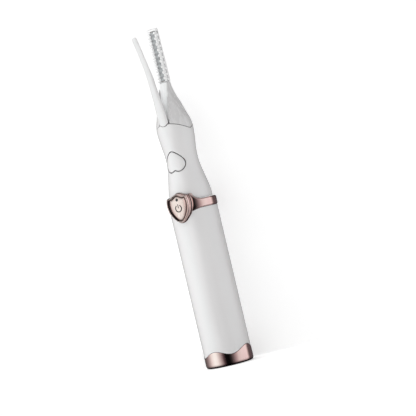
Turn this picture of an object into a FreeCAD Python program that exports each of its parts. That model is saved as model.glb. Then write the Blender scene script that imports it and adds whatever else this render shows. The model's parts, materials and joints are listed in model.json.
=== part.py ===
import FreeCAD, Part
import math
import os
import Sketcher
from FreeCAD import Vector, Rotation, Placement

# Cordless heated eyelash curler, pen type, cap off, clamp open.
# Millimetres. +Z runs up the handle and the origin is the centre of the base.
# The front is -Y: the power shield, the thumb button and the clamp jaw face it.
# Left is -X and right is +X, as seen from the front.

# ---------------------------------------------------------------- driving dimensions
# Names ending in _x, _y, _z, _low, _high, _top, _front, _back, _face, _rim and _floor
# are mostly places in the frame above; the rest are sizes.
DIMENSIONS = dict(
    # barrel, and the strap of the shield round its top
    barrel_radius=10.0, barrel_inner=8.7, barrel_foot=1.3, barrel_top=70.2,
    strap_low=66.4, strap_high=70.05, strap_seat=9.75, strap_inner=9.8, strap_outer=10.3,
    # base cap and its wavy edge: mean height, then the twofold and fourfold swings
    cap_radius=10.12, cap_inner=9.55, cap_floor=1.2, cap_round=1.4, cap_tall=8.4,
    wave_mean=5.84, wave_two=-0.225, wave_four=1.14, cap_seat=9.5,
    # charging socket
    port_wide=8.94, port_deep=3.2, port_y=-3.97, port_wall=0.3, port_low=0.5, port_high=7.8,
    # shield, its button plate, the button stem and the lamp
    shield_wide=12.0, shield_tall=12.7, shield_mid=68.0, shield_rim=-9.7, shield_face=-11.3,
    plate_wide=8.0, plate_tall=10.1, plate_back=-10.52, plate_rim=-10.85, plate_face=-11.1,
    recess_floor=-10.2, stem_z=67.0, stem_radius=1.7, stem_clear=0.3,
    lamp_z=71.6, lamp_radius=0.62,
    # neck and its V-shaped mouth
    neck_wall=1.15, mouth_side=99.65, mouth_rise=0.525, mouth_gap=0.10,
    # thumb button
    thumb_wide=8.8, thumb_top=91.4, thumb_gap=0.12, thumb_proud=0.3, thumb_back=-4.7,
    # circuit board
    board_front=-6.6, board_back=-5.6, board_half=5.0, board_low=4.5, board_step=66.4,
    board_top=74.0, board_screw_low=13.0, board_screw_high=59.0,
    # cell, and the tray with its cell bay
    cell_radius=6.5, cell_y=1.9, cell_low=15.85, cell_high=56.15,
    tray_radius=8.55, tray_low=11.0, tray_high=61.0, tray_flat=-4.7, bay_low=15.0, bay_high=57.0,
    # head frame, pivots and the retaining plate under the frame
    jaw_y=-4.0, jaw_z=98.9, jaw_pin_radius=0.75,
    rocker_y=-1.2, rocker_z=90.3, rocker_pin_radius=0.6, pin_clear=0.05, pin_half=3.3,
    clevis_half=2.45, clevis_radius=5.35, clevis_front=-3.2, clevis_back=1.6,
    slot_half=2.3, slot_floor=-2.8,
    retainer_low=77.0, frame_screw_x=4.2, frame_screw_y=2.6,
    # comb
    comb_half=2.1, comb_front=-1.3, comb_back=2.1, comb_low=120.45, comb_high=143.5,
    channel_half=0.95, fine_pitch=1.42, fine_count=15, coarse_pitch=2.4, coarse_count=9,
    # heater and its wires
    heater_half=0.85, heater_face=-0.45, heater_thick=0.3, insulator_thick=0.5,
    heater_low=121.2, heater_high=141.8, wire_radius=0.25, wire_y=0.9, wire_half=0.45,
    # jaw and pad
    hub_half=1.1, hub_radius=1.5, lip_half=2.1, tip_half=1.25, pad_half=0.75,
    pad_low_y=-8.07, pad_low_z=122.05, pad_top_y=-13.53, pad_top_z=140.0,
)
# all four screws
SCREW_RADIUS = 0.8
SCREW_HEAD_RADIUS = 1.4
SCREW_HEAD_TALL = 0.8
SCREW_BORE = 0.82       # hole the shank goes into
SCREW_PASS = 0.9        # hole the shank passes through

# ---------------------------------------------------------------- tables
# Outer profile of the neck: height z, radius
NECK = [(70.4, 9.0), (71.6, 8.98), (73.6, 8.86), (76.0, 8.5), (81.5, 7.42), (85.0, 6.84),
        (88.0, 6.66), (92.0, 6.92), (96.0, 7.4), (99.0, 7.66), (101.5, 7.68), (105.0, 7.4)]
NECK_LOW, NECK_TOP = NECK[0][0], NECK[-1][0]

# Right half of the shield outline: x, z. Drawn 12.0 wide and 12.7 tall.
SHIELD_TOP = [(0.0, 74.35), (1.0, 74.2), (2.2, 73.68), (3.4, 73.15), (4.4, 72.93), (5.4, 73.0)]
SHIELD_SIDE = [(5.4, 73.0), (5.87, 71.4), (6.0, 69.6), (5.7, 67.6), (4.75, 65.4), (3.1, 63.3),
               (1.3, 61.95), (0.0, 61.65)]
SHIELD_DRAWN = (12.0, 12.7)

# Right half of the strap's flare towards the shield: x, z
FLARE = [(5.0, 65.6), (7.2, 66.2), (8.8, 66.42), (8.8, 70.03), (7.6, 70.5), (6.8, 71.2),
         (5.8, 72.5)]

# Right side of the thumb button, from the top down: x, z. Drawn 8.8 wide.
THUMB_SIDE = [(1.3, 90.8), (2.75, 89.5), (3.95, 87.8), (4.4, 86.2), (4.15, 84.7), (3.2, 83.5),
              (1.95, 83.1), (0.85, 83.38)]
THUMB_NOTCH_Z = 83.75   # on the centre line, between the two lobes at the foot
THUMB_DRAWN = 8.8

# Head arm sections: height z, half width, half depth, centre y, superellipse exponent
ARM = [(98.5, 7.62, 7.62, 0.0, 2.0), (101.0, 7.64, 7.64, 0.0, 2.0),
       (103.0, 7.44, 7.44, 0.0, 2.0), (104.75, 6.92, 6.92, 0.0, 2.05),
       (106.8, 5.98, 6.38, 0.0, 2.2), (109.3, 4.95, 5.75, 0.0, 2.5),
       (111.8, 4.0, 4.85, 0.0, 3.0), (114.1, 3.1, 3.9, 0.0, 3.5),
       (116.4, 2.5, 3.1, 0.1, 4.2), (118.3, 2.2, 2.25, 0.3, 5.0),
       (120.4, 2.1, 1.72, 0.42, 6.0)]
# Right half of the tapering front view of the arm's slot: x, z
SLOT_TAPER = [(2.3, 102), (2.3, 109), (1.95, 115), (1.72, 121.6)]

# Side view of the jaw: y, z
JAW_SIDE = [
    # front edge, going up, and the tip
    (-7.75, 102.5), (-8.05, 105.0), (-8.5, 108.0), (-8.9, 112.0), (-9.36, 116.0),
    (-9.77, 119.5), (-10.18, 123.0), (-10.98, 127.3), (-12.09, 131.4), (-13.87, 137.3),
    (-14.75, 140.0), (-14.75, 140.4), (-14.5, 140.6), (-14.2, 140.55), (-14.016, 140.2),
    # back edge, going down
    (-8.594, 122.25), (-8.368, 120.05), (-8.14, 118.05), (-7.476, 114.8), (-7.106, 112.05),
    (-6.886, 109.33), (-6.715, 106.63), (-5.4, 105.4), (-4.75, 102.6), (-2.75, 99.9),
    # tail below the pivot, and back up to the start
    (-2.5, 98.9), (-2.5, 93.6), (-3.75, 93.6), (-3.75, 97.0), (-5.35, 98.3), (-5.45, 99.4),
    (-6.05, 101.4), (-6.05, 102.5)]

# Side view of the rocker: y, z
ROCKER_SIDE = [(-2.4, 94.6), (-2.4, 93.0), (-2.5, 90.6), (-3.2, 86.6), (-3.2, 85.2),
               (-1.9, 85.2), (-1.6, 86.8), (0.0, 89.7), (0.05, 91.0), (-1.2, 93.2),
               (-1.2, 94.6)]

# Small parts on the front of the board: x, z of the lower left corner
PASSIVES = [(-3.4, 22), (-1.4, 22), (0.6, 22), (2.6, 22), (-3.4, 30), (2.6, 30), (-0.45, 38),
            (2.6, 46)]


# ---------------------------------------------------------------- sizes and the sheet
class Size:
    """A number together with the sheet expression that gives it."""

    def __init__(self, text, value):
        self.text, self.value = text, float(value)

    def _join(self, sign, other, value):
        return Size("(%s %s %s)" % (self.text, sign, size(other).text), value)

    def __add__(self, other):
        return self._join("+", other, self.value + size(other).value)

    def __sub__(self, other):
        return self._join("-", other, self.value - size(other).value)

    def __mul__(self, other):
        return self._join("*", other, self.value * size(other).value)

    def __truediv__(self, other):
        return self._join("/", other, self.value / size(other).value)

    def __rmul__(self, other):
        return size(other) * self

    def __neg__(self):
        return Size("(0 - %s)" % self.text, -self.value)

    def __float__(self):
        return self.value


def size(number):
    if isinstance(number, Size):
        return number
    return Size("%.5f" % float(number), number)


class Dimensions:
    """Holds one Size for each alias of the sheet."""


doc = FreeCAD.newDocument("eyelash_curler")
sheet = doc.addObject("Spreadsheet::Sheet", "Params")
dim = Dimensions()
for row, (alias, number) in enumerate(DIMENSIONS.items(), 1):
    sheet.set("A%d" % row, str(number))
    sheet.setAlias("A%d" % row, alias)
    setattr(dim, alias, Size("Params." + alias, number))
doc.recompute()


def bind(obj, prop, value):
    """Tie a property to the sheet, if its value comes from there."""
    value = size(value)
    if "Params." in value.text:
        obj.setExpression(prop, value.text)


def set_size(obj, prop, value):
    setattr(obj, prop, float(value))
    bind(obj, prop, value)


def place(obj, x, y, z, turn=Rotation()):
    obj.Placement = Placement(point(x, y, z), turn)
    for name, value in (("x", x), ("y", y), ("z", z)):
        bind(obj, "Placement.Base." + name, value)


# ---------------------------------------------------------------- sketched bodies
# On the XZ plane a sketch faces -Y, so a positive offset moves it to the front.
# Pads run along the sketch's normal and pockets against it.
def new_body(name):
    return doc.addObject("PartDesign::Body", name)


def rect(x0, y0, x1, y1):
    return [(x0, y0), (x1, y0), (x1, y1), (x0, y1)]


def circle(x, y, radius):
    return ("circle", x, y, radius)


def mirrored(half):
    """Close a right half outline with its mirror image on the left."""
    return half + [(-x, z) for x, z in reversed(half)]


def dimension(sk, value, kind, *geometry):
    index = sk.addConstraint(Sketcher.Constraint(kind, *geometry, value.value))
    bind(sk, "Constraints[%d]" % index, value)


def sketch_circle(sk, x, y, radius):
    shape = Part.Circle(Vector(x.value, y.value, 0), Vector(0, 0, 1), radius.value)
    index = sk.addGeometry(shape, False)
    dimension(sk, x, "DistanceX", -1, 1, index, 3)
    dimension(sk, y, "DistanceY", -1, 1, index, 3)
    dimension(sk, radius, "Radius", index)


def sketch_polygon(sk, corners):
    count = len(corners)
    lines = []
    for i, (x, y) in enumerate(corners):
        next_x, next_y = corners[(i + 1) % count]
        line = Part.LineSegment(Vector(x.value, y.value, 0), Vector(next_x.value, next_y.value, 0))
        lines.append(sk.addGeometry(line, False))
    for i in range(count):
        sk.addConstraint(Sketcher.Constraint("Coincident", lines[i], 2, lines[(i + 1) % count], 1))
    for line, (x, y) in zip(lines, corners):
        dimension(sk, x, "DistanceX", -1, 1, line, 1)
        dimension(sk, y, "DistanceY", -1, 1, line, 1)


def sketch(body, plane, shapes, offset=0.0):
    """A fully dimensioned sketch of circles and closed polygons [(x, y), ...]."""
    sk = body.newObject("Sketcher::SketchObject", body.Name + "_sketch")
    support = [f for f in body.Origin.OriginFeatures if f.Role == plane][0]
    sk.AttachmentSupport = [(support, "")]
    sk.MapMode = "FlatFace"
    sk.AttachmentOffset = Placement(Vector(0, 0, float(offset)), Rotation())
    bind(sk, "AttachmentOffset.Base.z", offset)
    for shape in shapes:
        if shape[0] == "circle":
            sketch_circle(sk, *[size(v) for v in shape[1:]])
        else:
            sketch_polygon(sk, [(size(x), size(y)) for x, y in shape])
    return sk


def revolution(body, outline):
    """Turn an outline of (radius, z) points round the Z axis."""
    sk = sketch(body, "XZ_Plane", [outline])
    turn = body.newObject("PartDesign::Revolution", body.Name + "_turn")
    turn.Profile = sk
    turn.ReferenceAxis = (sk, ["V_Axis"])
    turn.Angle = 360
    body.Tip = turn


def extrude(kind, body, plane, shapes, length, offset, symmetric, reverse):
    feat = body.newObject("PartDesign::" + kind, body.Name + "_" + kind.lower())
    feat.Profile = sketch(body, plane, shapes, offset)
    set_size(feat, "Length", length)
    if symmetric:
        feat.SideType = "Symmetric"
    feat.Reversed = reverse
    body.Tip = feat


def pad(body, plane, shapes, length, offset=0.0, symmetric=False):
    extrude("Pad", body, plane, shapes, length, offset, symmetric, False)


def require_cut(body, before):
    if not body.Shape.Volume < before - 1e-6:
        raise RuntimeError("a cut removes nothing from " + body.Name)


def pocket(body, plane, shapes, length, offset=0.0, symmetric=False, reverse=False):
    doc.recompute()
    before = body.Shape.Volume
    extrude("Pocket", body, plane, shapes, length, offset, symmetric, reverse)
    doc.recompute()
    require_cut(body, before)


def edge_span(edge):
    return edge.Vertexes[1].Point - edge.Vertexes[0].Point


def round_edges(body, name, edge_numbers, radius):
    blank = body.Tip
    fillet = body.newObject("PartDesign::Fillet", name)
    fillet.Base = (blank, ["Edge%d" % n for n in edge_numbers])
    set_size(fillet, "Radius", radius)
    body.Tip = fillet


# ---------------------------------------------------------------- parametric primitives
AXIS_TURN = {"z": Rotation(), "y": Rotation(Vector(1, 0, 0), -90),
             "x": Rotation(Vector(0, 1, 0), 90)}


def box(name, x, y, z, dx, dy, dz):
    """A box from its lower corner (x, y, z)."""
    obj = doc.addObject("Part::Box", name)
    for prop, value in (("Length", dx), ("Width", dy), ("Height", dz)):
        set_size(obj, prop, value)
    place(obj, x, y, z)
    return obj


def rod(name, x, y, z, radius, length, axis="z"):
    """A cylinder from (x, y, z) along +axis."""
    obj = doc.addObject("Part::Cylinder", name)
    set_size(obj, "Radius", radius)
    set_size(obj, "Height", length)
    place(obj, x, y, z, AXIS_TURN[axis])
    return obj


def round_box(name, x, y, z, dx, dy, dz, radius):
    """A box whose four upright edges are rounded."""
    block = box(name + "_block", x, y, z, dx, dy, dz)
    doc.recompute()
    fillet = doc.addObject("Part::Fillet", name)
    fillet.Base = block
    edges = []
    for number, edge in enumerate(block.Shape.Edges, 1):
        span = edge_span(edge)
        if abs(span.z) > 0.999 * span.Length:
            edges.append((number, radius, radius))
    fillet.Edges = edges
    return fillet


def cut(name, base, *tools):
    for i, tool in enumerate(tools):
        last = i == len(tools) - 1
        result = doc.addObject("Part::Cut", name if last else "%s_cut%d" % (name, i))
        result.Base, result.Tool = base, tool
        base = result
    return base


def fuse(name, *shapes):
    result = doc.addObject("Part::MultiFuse", name)
    result.Shapes = list(shapes)
    return result


def group(name, *shapes):
    result = doc.addObject("Part::Compound", name)
    result.Links = list(shapes)
    return result


def screw(name, x, y, z, shank, axis):
    """A slotted screw: the head starts at (x, y, z) and the shank runs on along +axis."""
    overlap = 0.01
    x, y, z = size(x), size(y), size(z)
    reach = SCREW_HEAD_TALL - overlap
    if axis == "z":
        start = (x, y, z + reach)
        drive = (x - 0.6, y - 0.15, z - 0.1, 1.2, 0.3, 0.4)
    else:
        start = (x, y + reach, z)
        drive = (x - 0.6, y - 0.1, z - 0.15, 1.2, 0.4, 0.3)
    head = rod(name + "_head", x, y, z, SCREW_HEAD_RADIUS, SCREW_HEAD_TALL, axis)
    stem = rod(name + "_shank", *start, SCREW_RADIUS, shank + overlap, axis)
    slot = box(name + "_drive", *drive)
    return cut(name, fuse(name + "_blank", head, stem), slot)


# ---------------------------------------------------------------- plain shapes
UP, BACK, RIGHT = Vector(0, 0, 1), Vector(0, 1, 0), Vector(1, 0, 0)


def point(x, y, z):
    return Vector(float(x), float(y), float(z))


def solid_box(x, y, z, dx, dy, dz):
    return Part.makeBox(float(dx), float(dy), float(dz), point(x, y, z))


def solid_rod(x, y, z, radius, length, along=UP):
    return Part.makeCylinder(float(radius), float(length), point(x, y, z), along)


def front_bore(radius, z, depth=6.0):
    """A cutter running back from in front of the shield."""
    return solid_rod(0, -13, z, radius, depth, BACK)


def tube(z, inner, outer, height):
    return solid_rod(0, 0, z, outer, height).cut(solid_rod(0, 0, z - 1, inner, height + 2))


def prism(corners, along):
    return Part.Face(Part.makePolygon(corners + corners[:1])).extrude(along)


def spline(points, periodic=False):
    curve = Part.BSplineCurve()
    curve.interpolate(Points=points, PeriodicFlag=periodic)
    return curve.toShape()


def feature(name, shape):
    obj = doc.addObject("Part::Feature", name)
    obj.Shape = shape
    obj.Placement = Placement()
    return obj


PIECES = []


def piece(build):
    """Register the function that builds a piece; its name is the piece's label."""
    PIECES.append(build)
    return build


# ---------------------------------------------------------------- base end
def wave_ring(inner, outer, above, gap):
    """The part of a ring above or below the wavy edge, which is lifted by gap."""
    steps, spare = 96, 0.4

    def wave(radius):
        points = []
        for i in range(steps):
            angle = 2 * math.pi * i / steps
            z = (dim.wave_mean.value + dim.wave_two.value * math.cos(2 * angle)
                 + dim.wave_four.value * math.cos(4 * angle) + gap)
            points.append(Vector(radius * math.sin(angle), -radius * math.cos(angle), z))
        return spline(points, True)

    divider = Part.makeRuledSurface(wave(inner - spare), wave(outer + spare))
    parts = tube(-1, inner, outer, 15.0).generalFuse([divider])[0].Solids
    parts.sort(key=lambda part: part.CenterOfMass.z)
    return parts[-1] if above else parts[0]


@piece
def base_cap():
    """Round-bottomed cup with a wavy rim and a hole for the socket."""
    port_clear = 0.25
    cup = new_body("cap_cup")
    revolution(cup, [(0, 0), (dim.cap_radius, 0), (dim.cap_radius, dim.cap_tall),
                     (dim.cap_inner, dim.cap_tall), (dim.cap_inner, dim.cap_floor),
                     (0, dim.cap_floor)])
    doc.recompute()
    bottom = [n for n, edge in enumerate(cup.Shape.Edges, 1)
              if edge.BoundBox.ZMax < 1e-6 and edge.Curve.TypeId == "Part::GeomCircle"]
    round_edges(cup, "cap_cup_round", bottom[:1], dim.cap_round)
    wave = feature("cap_wave", wave_ring(8.9, 11.0, above=True, gap=0.0))
    hole = round_box("cap_port_hole", -(dim.port_wide / 2) - port_clear,
                     dim.port_y - dim.port_deep / 2 - port_clear, -0.5,
                     dim.port_wide + 2 * port_clear, dim.port_deep + 2 * port_clear, 3.0, 1.6)
    return cut("base_cap", cup, wave, hole)


@piece
def barrel_tube():
    """Handle tube, thinned at the top under the strap and at the foot inside the cap."""
    seat_low = dim.strap_low - 0.1
    body = new_body("barrel_body")
    revolution(body, [(dim.barrel_inner, dim.barrel_foot), (dim.barrel_radius, dim.barrel_foot),
                      (dim.barrel_radius, seat_low), (dim.strap_seat, seat_low),
                      (dim.strap_seat, dim.barrel_top), (dim.barrel_inner, dim.barrel_top)])
    wave = feature("barrel_wave", wave_ring(dim.cap_seat.value, 11.0, above=False, gap=0.06))
    hole = rod("barrel_stem_hole", 0, -12, dim.stem_z, dim.stem_radius + dim.stem_clear, 6, "y")
    return cut("barrel_tube", body, wave, hole)


@piece
def end_plug():
    """Disc in the barrel's foot with the socket opening and two round holes."""
    half_wide, half_deep = dim.port_wide / 2 + 0.1, dim.port_deep / 2 + 0.1
    body = new_body("end_plug")
    pad(body, "XY_Plane", [circle(0, 0, dim.barrel_inner - 0.08)], 2.3, dim.barrel_foot)
    pocket(body, "XY_Plane", [rect(-half_wide, dim.port_y - half_deep,
                                   half_wide, dim.port_y + half_deep)], 6.0, 6.0)
    pocket(body, "XY_Plane", [circle(-4.5, 4.0, 0.8), circle(4.5, 4.0, 0.8)], 6.0, 6.0)
    return body


@piece
def usb_socket():
    """Thin rounded shell, open at the bottom."""
    left, front = -(dim.port_wide / 2), dim.port_y - dim.port_deep / 2
    wall, height = dim.port_wall, dim.port_high - dim.port_low
    outer = round_box("socket_outer", left, front, dim.port_low,
                      dim.port_wide, dim.port_deep, height, 1.45)
    inner = round_box("socket_inner", left + wall, front + wall, dim.port_low - 1,
                      dim.port_wide - 2 * wall, dim.port_deep - 2 * wall, height + 1 - wall, 1.2)
    return cut("usb_socket", outer, inner)


@piece
def usb_tongue():
    low, half_wide, half_thick = 1.3, 3.3, 0.33
    return box("usb_tongue", -half_wide, dim.port_y - half_thick, low,
               2 * half_wide, 2 * half_thick, dim.port_high - dim.port_wall - low)


# ---------------------------------------------------------------- shield
def shield_wire(wide, tall, y):
    """The shield outline, scaled about its middle height, at depth y."""
    scale_x = float(wide) / SHIELD_DRAWN[0]
    scale_z = float(tall) / SHIELD_DRAWN[1]
    middle = dim.shield_mid.value

    def half_edge(points, side):
        return spline([Vector(side * x * scale_x, float(y), middle + (z - middle) * scale_z)
                       for x, z in points])

    return Part.Wire([half_edge(SHIELD_TOP, 1), half_edge(SHIELD_SIDE, 1),
                      half_edge(SHIELD_SIDE[::-1], -1), half_edge(SHIELD_TOP[::-1], -1)])


def shield_block(wide, tall, y_back, y_front):
    run = point(0, float(y_front) - float(y_back), 0)
    return Part.Face(shield_wire(wide, tall, y_back)).extrude(run)


def shield_loft(*stations):
    """A straight-sided loft through shield outlines (wide, tall, y)."""
    return Part.makeLoft([shield_wire(*station) for station in stations], True, True)


@piece
def ring_bezel():
    """Bevelled shield frame on a strap round the top of the barrel."""
    wide, tall, face = dim.shield_wide, dim.shield_tall, dim.shield_face
    plate_wide, plate_tall = dim.plate_wide, dim.plate_tall
    bevel = shield_loft((wide, tall, dim.shield_rim), (wide - 1.5, tall - 1.6, face))
    plate = shield_block(wide, tall, -7.5, dim.shield_rim).fuse(bevel)
    recess = shield_block(plate_wide + 0.16, plate_tall + 0.16, dim.recess_floor, -14)
    dish = shield_loft((plate_wide + 0.5, plate_tall + 0.5, -10.95),
                       (wide - 2.0, tall - 2.2, face - 0.02))
    plate = plate.cut(recess).cut(dish)
    strap = solid_rod(0, 0, dim.strap_low, dim.strap_outer, dim.strap_high - dim.strap_low)
    flare = solid_rod(0, 0, 64.4, dim.strap_outer, 8.4).common(
        prism([Vector(x, 0, z) for x, z in mirrored(FLARE)], Vector(0, -12, 0)))
    bezel = strap.fuse(flare).fuse(plate).cut(recess)
    # hollow it to fit over the barrel, the barrel's thinned top and the neck
    bezel = bezel.cut(solid_rod(0, 0, 58.5, dim.barrel_radius + 0.05, 8.0))
    bezel = bezel.cut(solid_rod(0, 0, 65.0, dim.strap_inner, 6.0))
    bezel = bezel.cut(neck_solid(-0.08, NECK_LOW, 80.0))
    bezel = bezel.cut(front_bore(dim.stem_radius + dim.stem_clear, dim.stem_z))
    bezel = bezel.cut(front_bore(dim.lamp_radius + 0.3, dim.lamp_z))
    return feature("ring_bezel", bezel.removeSplitter())


def power_mark():
    """Cutter for the power mark: an open ring and a bar, 0.12 deep."""
    back = dim.plate_face.value - 0.88
    middle = dim.shield_mid.value
    mark = solid_rod(0, back, middle, 1.62, 1, BACK).cut(solid_rod(0, back, middle, 1.22, 1, BACK))
    mark = mark.cut(solid_box(-0.6, -14, middle + 0.6, 1.2, 4, 3))
    return mark.fuse(solid_box(-0.2, back, middle + 0.15, 0.4, 1, 1.7))


@piece
def shield_button():
    """Chamfered plate with a stem behind, a lamp hole and the power mark."""
    wide, tall = dim.plate_wide, dim.plate_tall
    button = shield_loft((wide, tall, dim.plate_back), (wide, tall, dim.plate_rim))
    button = button.fuse(shield_loft((wide, tall, dim.plate_rim),
                                     (wide - 0.6, tall - 0.65, dim.plate_face)))
    button = button.fuse(solid_rod(0, -10.6, dim.stem_z, dim.stem_radius, 1.65, BACK))
    button = button.cut(front_bore(dim.lamp_radius + 0.01, dim.lamp_z, depth=4))
    button = button.cut(power_mark())
    return feature("shield_button", button)


@piece
def light_pipe():
    return rod("light_pipe", 0, dim.plate_face - 0.03, dim.lamp_z, dim.lamp_radius, 3.45, "y")


# ---------------------------------------------------------------- neck and thumb button
def neck_solid(inset, low, high):
    """The turned neck shape, pulled in by inset, between two heights."""
    points = [Vector(radius - inset, 0, z) for z, radius in NECK]
    foot, top = Vector(0, 0, NECK_LOW), Vector(0, 0, NECK_TOP)
    wire = Part.Wire([Part.makeLine(foot, points[0]), spline(points),
                      Part.makeLine(points[-1], top), Part.makeLine(top, foot)])
    solid = Part.Face(wire).revolve(Vector(0, 0, 0), UP, 360)
    return solid.common(solid_box(-20, -20, low, 40, 40, high - low))


def mouth_cutter(lift):
    """Everything above the V-shaped mouth edge, lifted by a clearance."""
    side_x, half_deep, top, steps = 12, 9.6, 130, 24
    soft = 1.6          # rounds the bottom of the V
    points = []
    for i in range(-steps, steps + 1):
        y = half_deep * i / steps
        rise = dim.mouth_rise.value * (math.sqrt(y * y + soft * soft) - soft) * 1.08
        points.append(Vector(-side_x, y, dim.mouth_side.value + lift + rise))
    back_top, front_top = Vector(-side_x, half_deep, top), Vector(-side_x, -half_deep, top)
    wire = Part.Wire([spline(points), Part.makeLine(points[-1], back_top),
                      Part.makeLine(back_top, front_top), Part.makeLine(front_top, points[0])])
    return Part.Face(wire).extrude(Vector(2 * side_x, 0, 0))


def thumb_block(grow, y_front, y_back):
    """The thumb button outline, grown outwards, between two depths."""
    scale = dim.thumb_wide.value / THUMB_DRAWN
    right = [(x * scale, z) for x, z in THUMB_SIDE]
    left = [(-x, z) for x, z in reversed(right)]
    outline = [(0.0, dim.thumb_top.value)] + right + [(0.0, THUMB_NOTCH_Z)] + left
    grown = []
    for i, (x, z) in enumerate(outline):
        x_before, z_before = outline[i - 1]
        x_after, z_after = outline[(i + 1) % len(outline)]
        dx, dz = x_after - x_before, z_after - z_before
        length = math.hypot(dx, dz)
        grown.append(Vector(x - grow * dz / length, y_front, z + grow * dx / length))
    return Part.Face(Part.Wire(spline(grown, True))).extrude(Vector(0, y_back - y_front, 0))


@piece
def neck_shell():
    """Hollow neck with a spigot into the barrel, a thumb opening and a lamp hole."""
    bore = 7.75
    skin = neck_solid(0.0, NECK_LOW, NECK_TOP)
    hollow = neck_solid(dim.neck_wall.value, 70.0, NECK_TOP)
    neck = skin.cut(hollow).cut(mouth_cutter(0.0))
    spigot = tube(66.9, bore, 8.6, 4.2)
    spigot = spigot.fuse(tube(NECK_LOW, bore, 8.9, 0.6))
    # open the front of the spigot
    spigot = spigot.cut(solid_box(-7.0, -12.0, 66.0, 14.0, 8.0, 4.6))
    spigot = spigot.cut(solid_box(-4.0, -9.2, 66.0, 8.0, 5.0, 10))
    neck = neck.fuse(spigot)
    # round notch in the front of the mouth
    neck = neck.cut(solid_rod(0, -10, 104.85, 2.55, 5, BACK))
    neck = neck.cut(thumb_block(dim.thumb_gap.value, -12, -2))
    neck = neck.cut(front_bore(dim.lamp_radius + 0.25, dim.lamp_z))
    return feature("neck_shell", neck)


@piece
def thumb_button():
    """Button that follows the neck's curve, with small blocks behind."""
    thumb = thumb_block(0.0, -9, dim.thumb_back.value)
    thumb = thumb.common(neck_solid(-dim.thumb_proud.value, 80.0, 96.0))
    thumb = thumb.fuse(solid_box(-0.9, -4.9, 84.8, 1.8, 1.6, 1.2))
    foot = solid_box(-1.6, -5.45, 82.5, 3.2, 0.65, 1.9)
    thumb = thumb.fuse(foot.fuse(solid_box(-1.6, -5.45, 83.6, 3.2, 0.75, 1.9)))
    for x in (-2.3, 1.3):
        thumb = thumb.fuse(solid_box(x, -4.85, 89.0, 1.0, 0.65, 3.4))
    return feature("thumb_button", thumb)


# ---------------------------------------------------------------- head frame
def super_ring(z, half_wide, half_deep, centre_y, exponent):
    """A closed superellipse curve at height z."""
    steps = 48
    points = []
    for i in range(steps):
        angle = 2 * math.pi * (i + 0.5) / steps
        across, along = math.cos(angle), math.sin(angle)
        reach = (abs(across / half_wide) ** exponent
                 + abs(along / half_deep) ** exponent) ** (-1.0 / exponent)
        points.append(Vector(reach * across, centre_y + reach * along, z))
    return Part.Wire(spline(points, True))


def arm_slot():
    """Cutter for the slot in the front of the arm, narrowing upwards."""
    half, floor = dim.slot_half.value, dim.slot_floor.value
    side = [(-12, 103), (floor, 103), (floor, 112.4), (-2.35, 115.1), (-1.55, 119.6),
            (-1.0, 121.5), (-12, 121.5)]
    slot = prism([Vector(-half, y, z) for y, z in side], Vector(2 * half, 0, 0))
    taper = prism([Vector(x, -13, z) for x, z in mirrored(SLOT_TAPER)], Vector(0, 16, 0))
    return slot.common(taper)


@piece
def head_frame():
    """Tapering arm above the mouth, on a slotted clevis inside the neck."""
    frame = Part.makeLoft([super_ring(*section) for section in ARM], True, False)
    frame = frame.common(mouth_cutter(dim.mouth_gap.value))
    frame = frame.fuse(solid_rod(0, 0, 95.2, 5.75, 10.0))
    frame = frame.fuse(solid_rod(0, 0, 79.5, dim.clevis_radius, 17.0))
    frame = frame.fuse(solid_rod(0, 0, 78.5, 6.15, 2.4))
    # gap between the clevis cheeks, then the flat across their front
    half = dim.clevis_half
    frame = frame.cut(solid_box(-half, dim.clevis_back - 20, 81.6, 2 * half, 20, 22.2))
    frame = frame.cut(solid_box(-10, dim.clevis_front - 10, 80.9, 20, 10, 12.4))
    frame = frame.cut(arm_slot())
    frame = frame.cut(solid_box(-2.6, -9.6, 99.6, 5.2, 3.2, 5))
    # passage for the heater wires
    passage = solid_box(-0.85, 0.45, 70, 1.7, 1.0, 60)
    frame = frame.cut(passage.fuse(solid_box(-0.95, -0.55, 78.0, 1.9, 2.0, 4.0)))
    for y, z, radius in ((dim.jaw_y, dim.jaw_z, dim.jaw_pin_radius),
                         (dim.rocker_y, dim.rocker_z, dim.rocker_pin_radius)):
        frame = frame.cut(solid_rod(-10, y, z, radius, 20, RIGHT))
    for x in (-dim.frame_screw_x, dim.frame_screw_x):
        frame = frame.cut(solid_rod(x, dim.frame_screw_y, 78.0, SCREW_BORE, 3.2))
    return feature("head_frame", frame)


@piece
def retaining_plate():
    """Disc under the head frame with two screw holes and a wire opening."""
    x, y = dim.frame_screw_x, dim.frame_screw_y
    body = new_body("retaining_plate")
    pad(body, "XY_Plane", [circle(0, 0, 6.7)], 1.4, dim.retainer_low)
    pocket(body, "XY_Plane", [circle(-x, y, SCREW_PASS), circle(x, y, SCREW_PASS)], 6.0, 80.0)
    pocket(body, "XY_Plane", [rect(-1.3, -2.6, 1.3, 1.7)], 6.0, 80.0)
    return body


@piece
def frame_screws():
    low = dim.retainer_low - SCREW_HEAD_TALL
    return group("frame_screws", *[
        screw("frame_screw_" + side, x, dim.frame_screw_y, low, 4.0, "z")
        for side, x in (("left", -dim.frame_screw_x), ("right", dim.frame_screw_x))])


# ---------------------------------------------------------------- comb and heater
def gap_row(body, name, outline, offset, reverse, pitch, count):
    """Cut one gap sideways through a comb wall and repeat it upwards."""
    sk = sketch(body, "YZ_Plane", [outline], offset)
    gap = body.newObject("PartDesign::Pocket", name + "_gap")
    gap.Profile = sk
    gap.Length = 2.4
    gap.Reversed = reverse
    body.Tip = gap
    doc.recompute()
    before = body.Shape.Volume
    row = body.newObject("PartDesign::LinearPattern", name + "_row")
    row.Originals = [gap]
    row.Direction = (sk, ["V_Axis"])
    set_size(row, "Length", pitch * (count - 1))
    row.Occurrences = int(count.value)
    body.Tip = row
    doc.recompute()
    require_cut(body, before)


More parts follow.
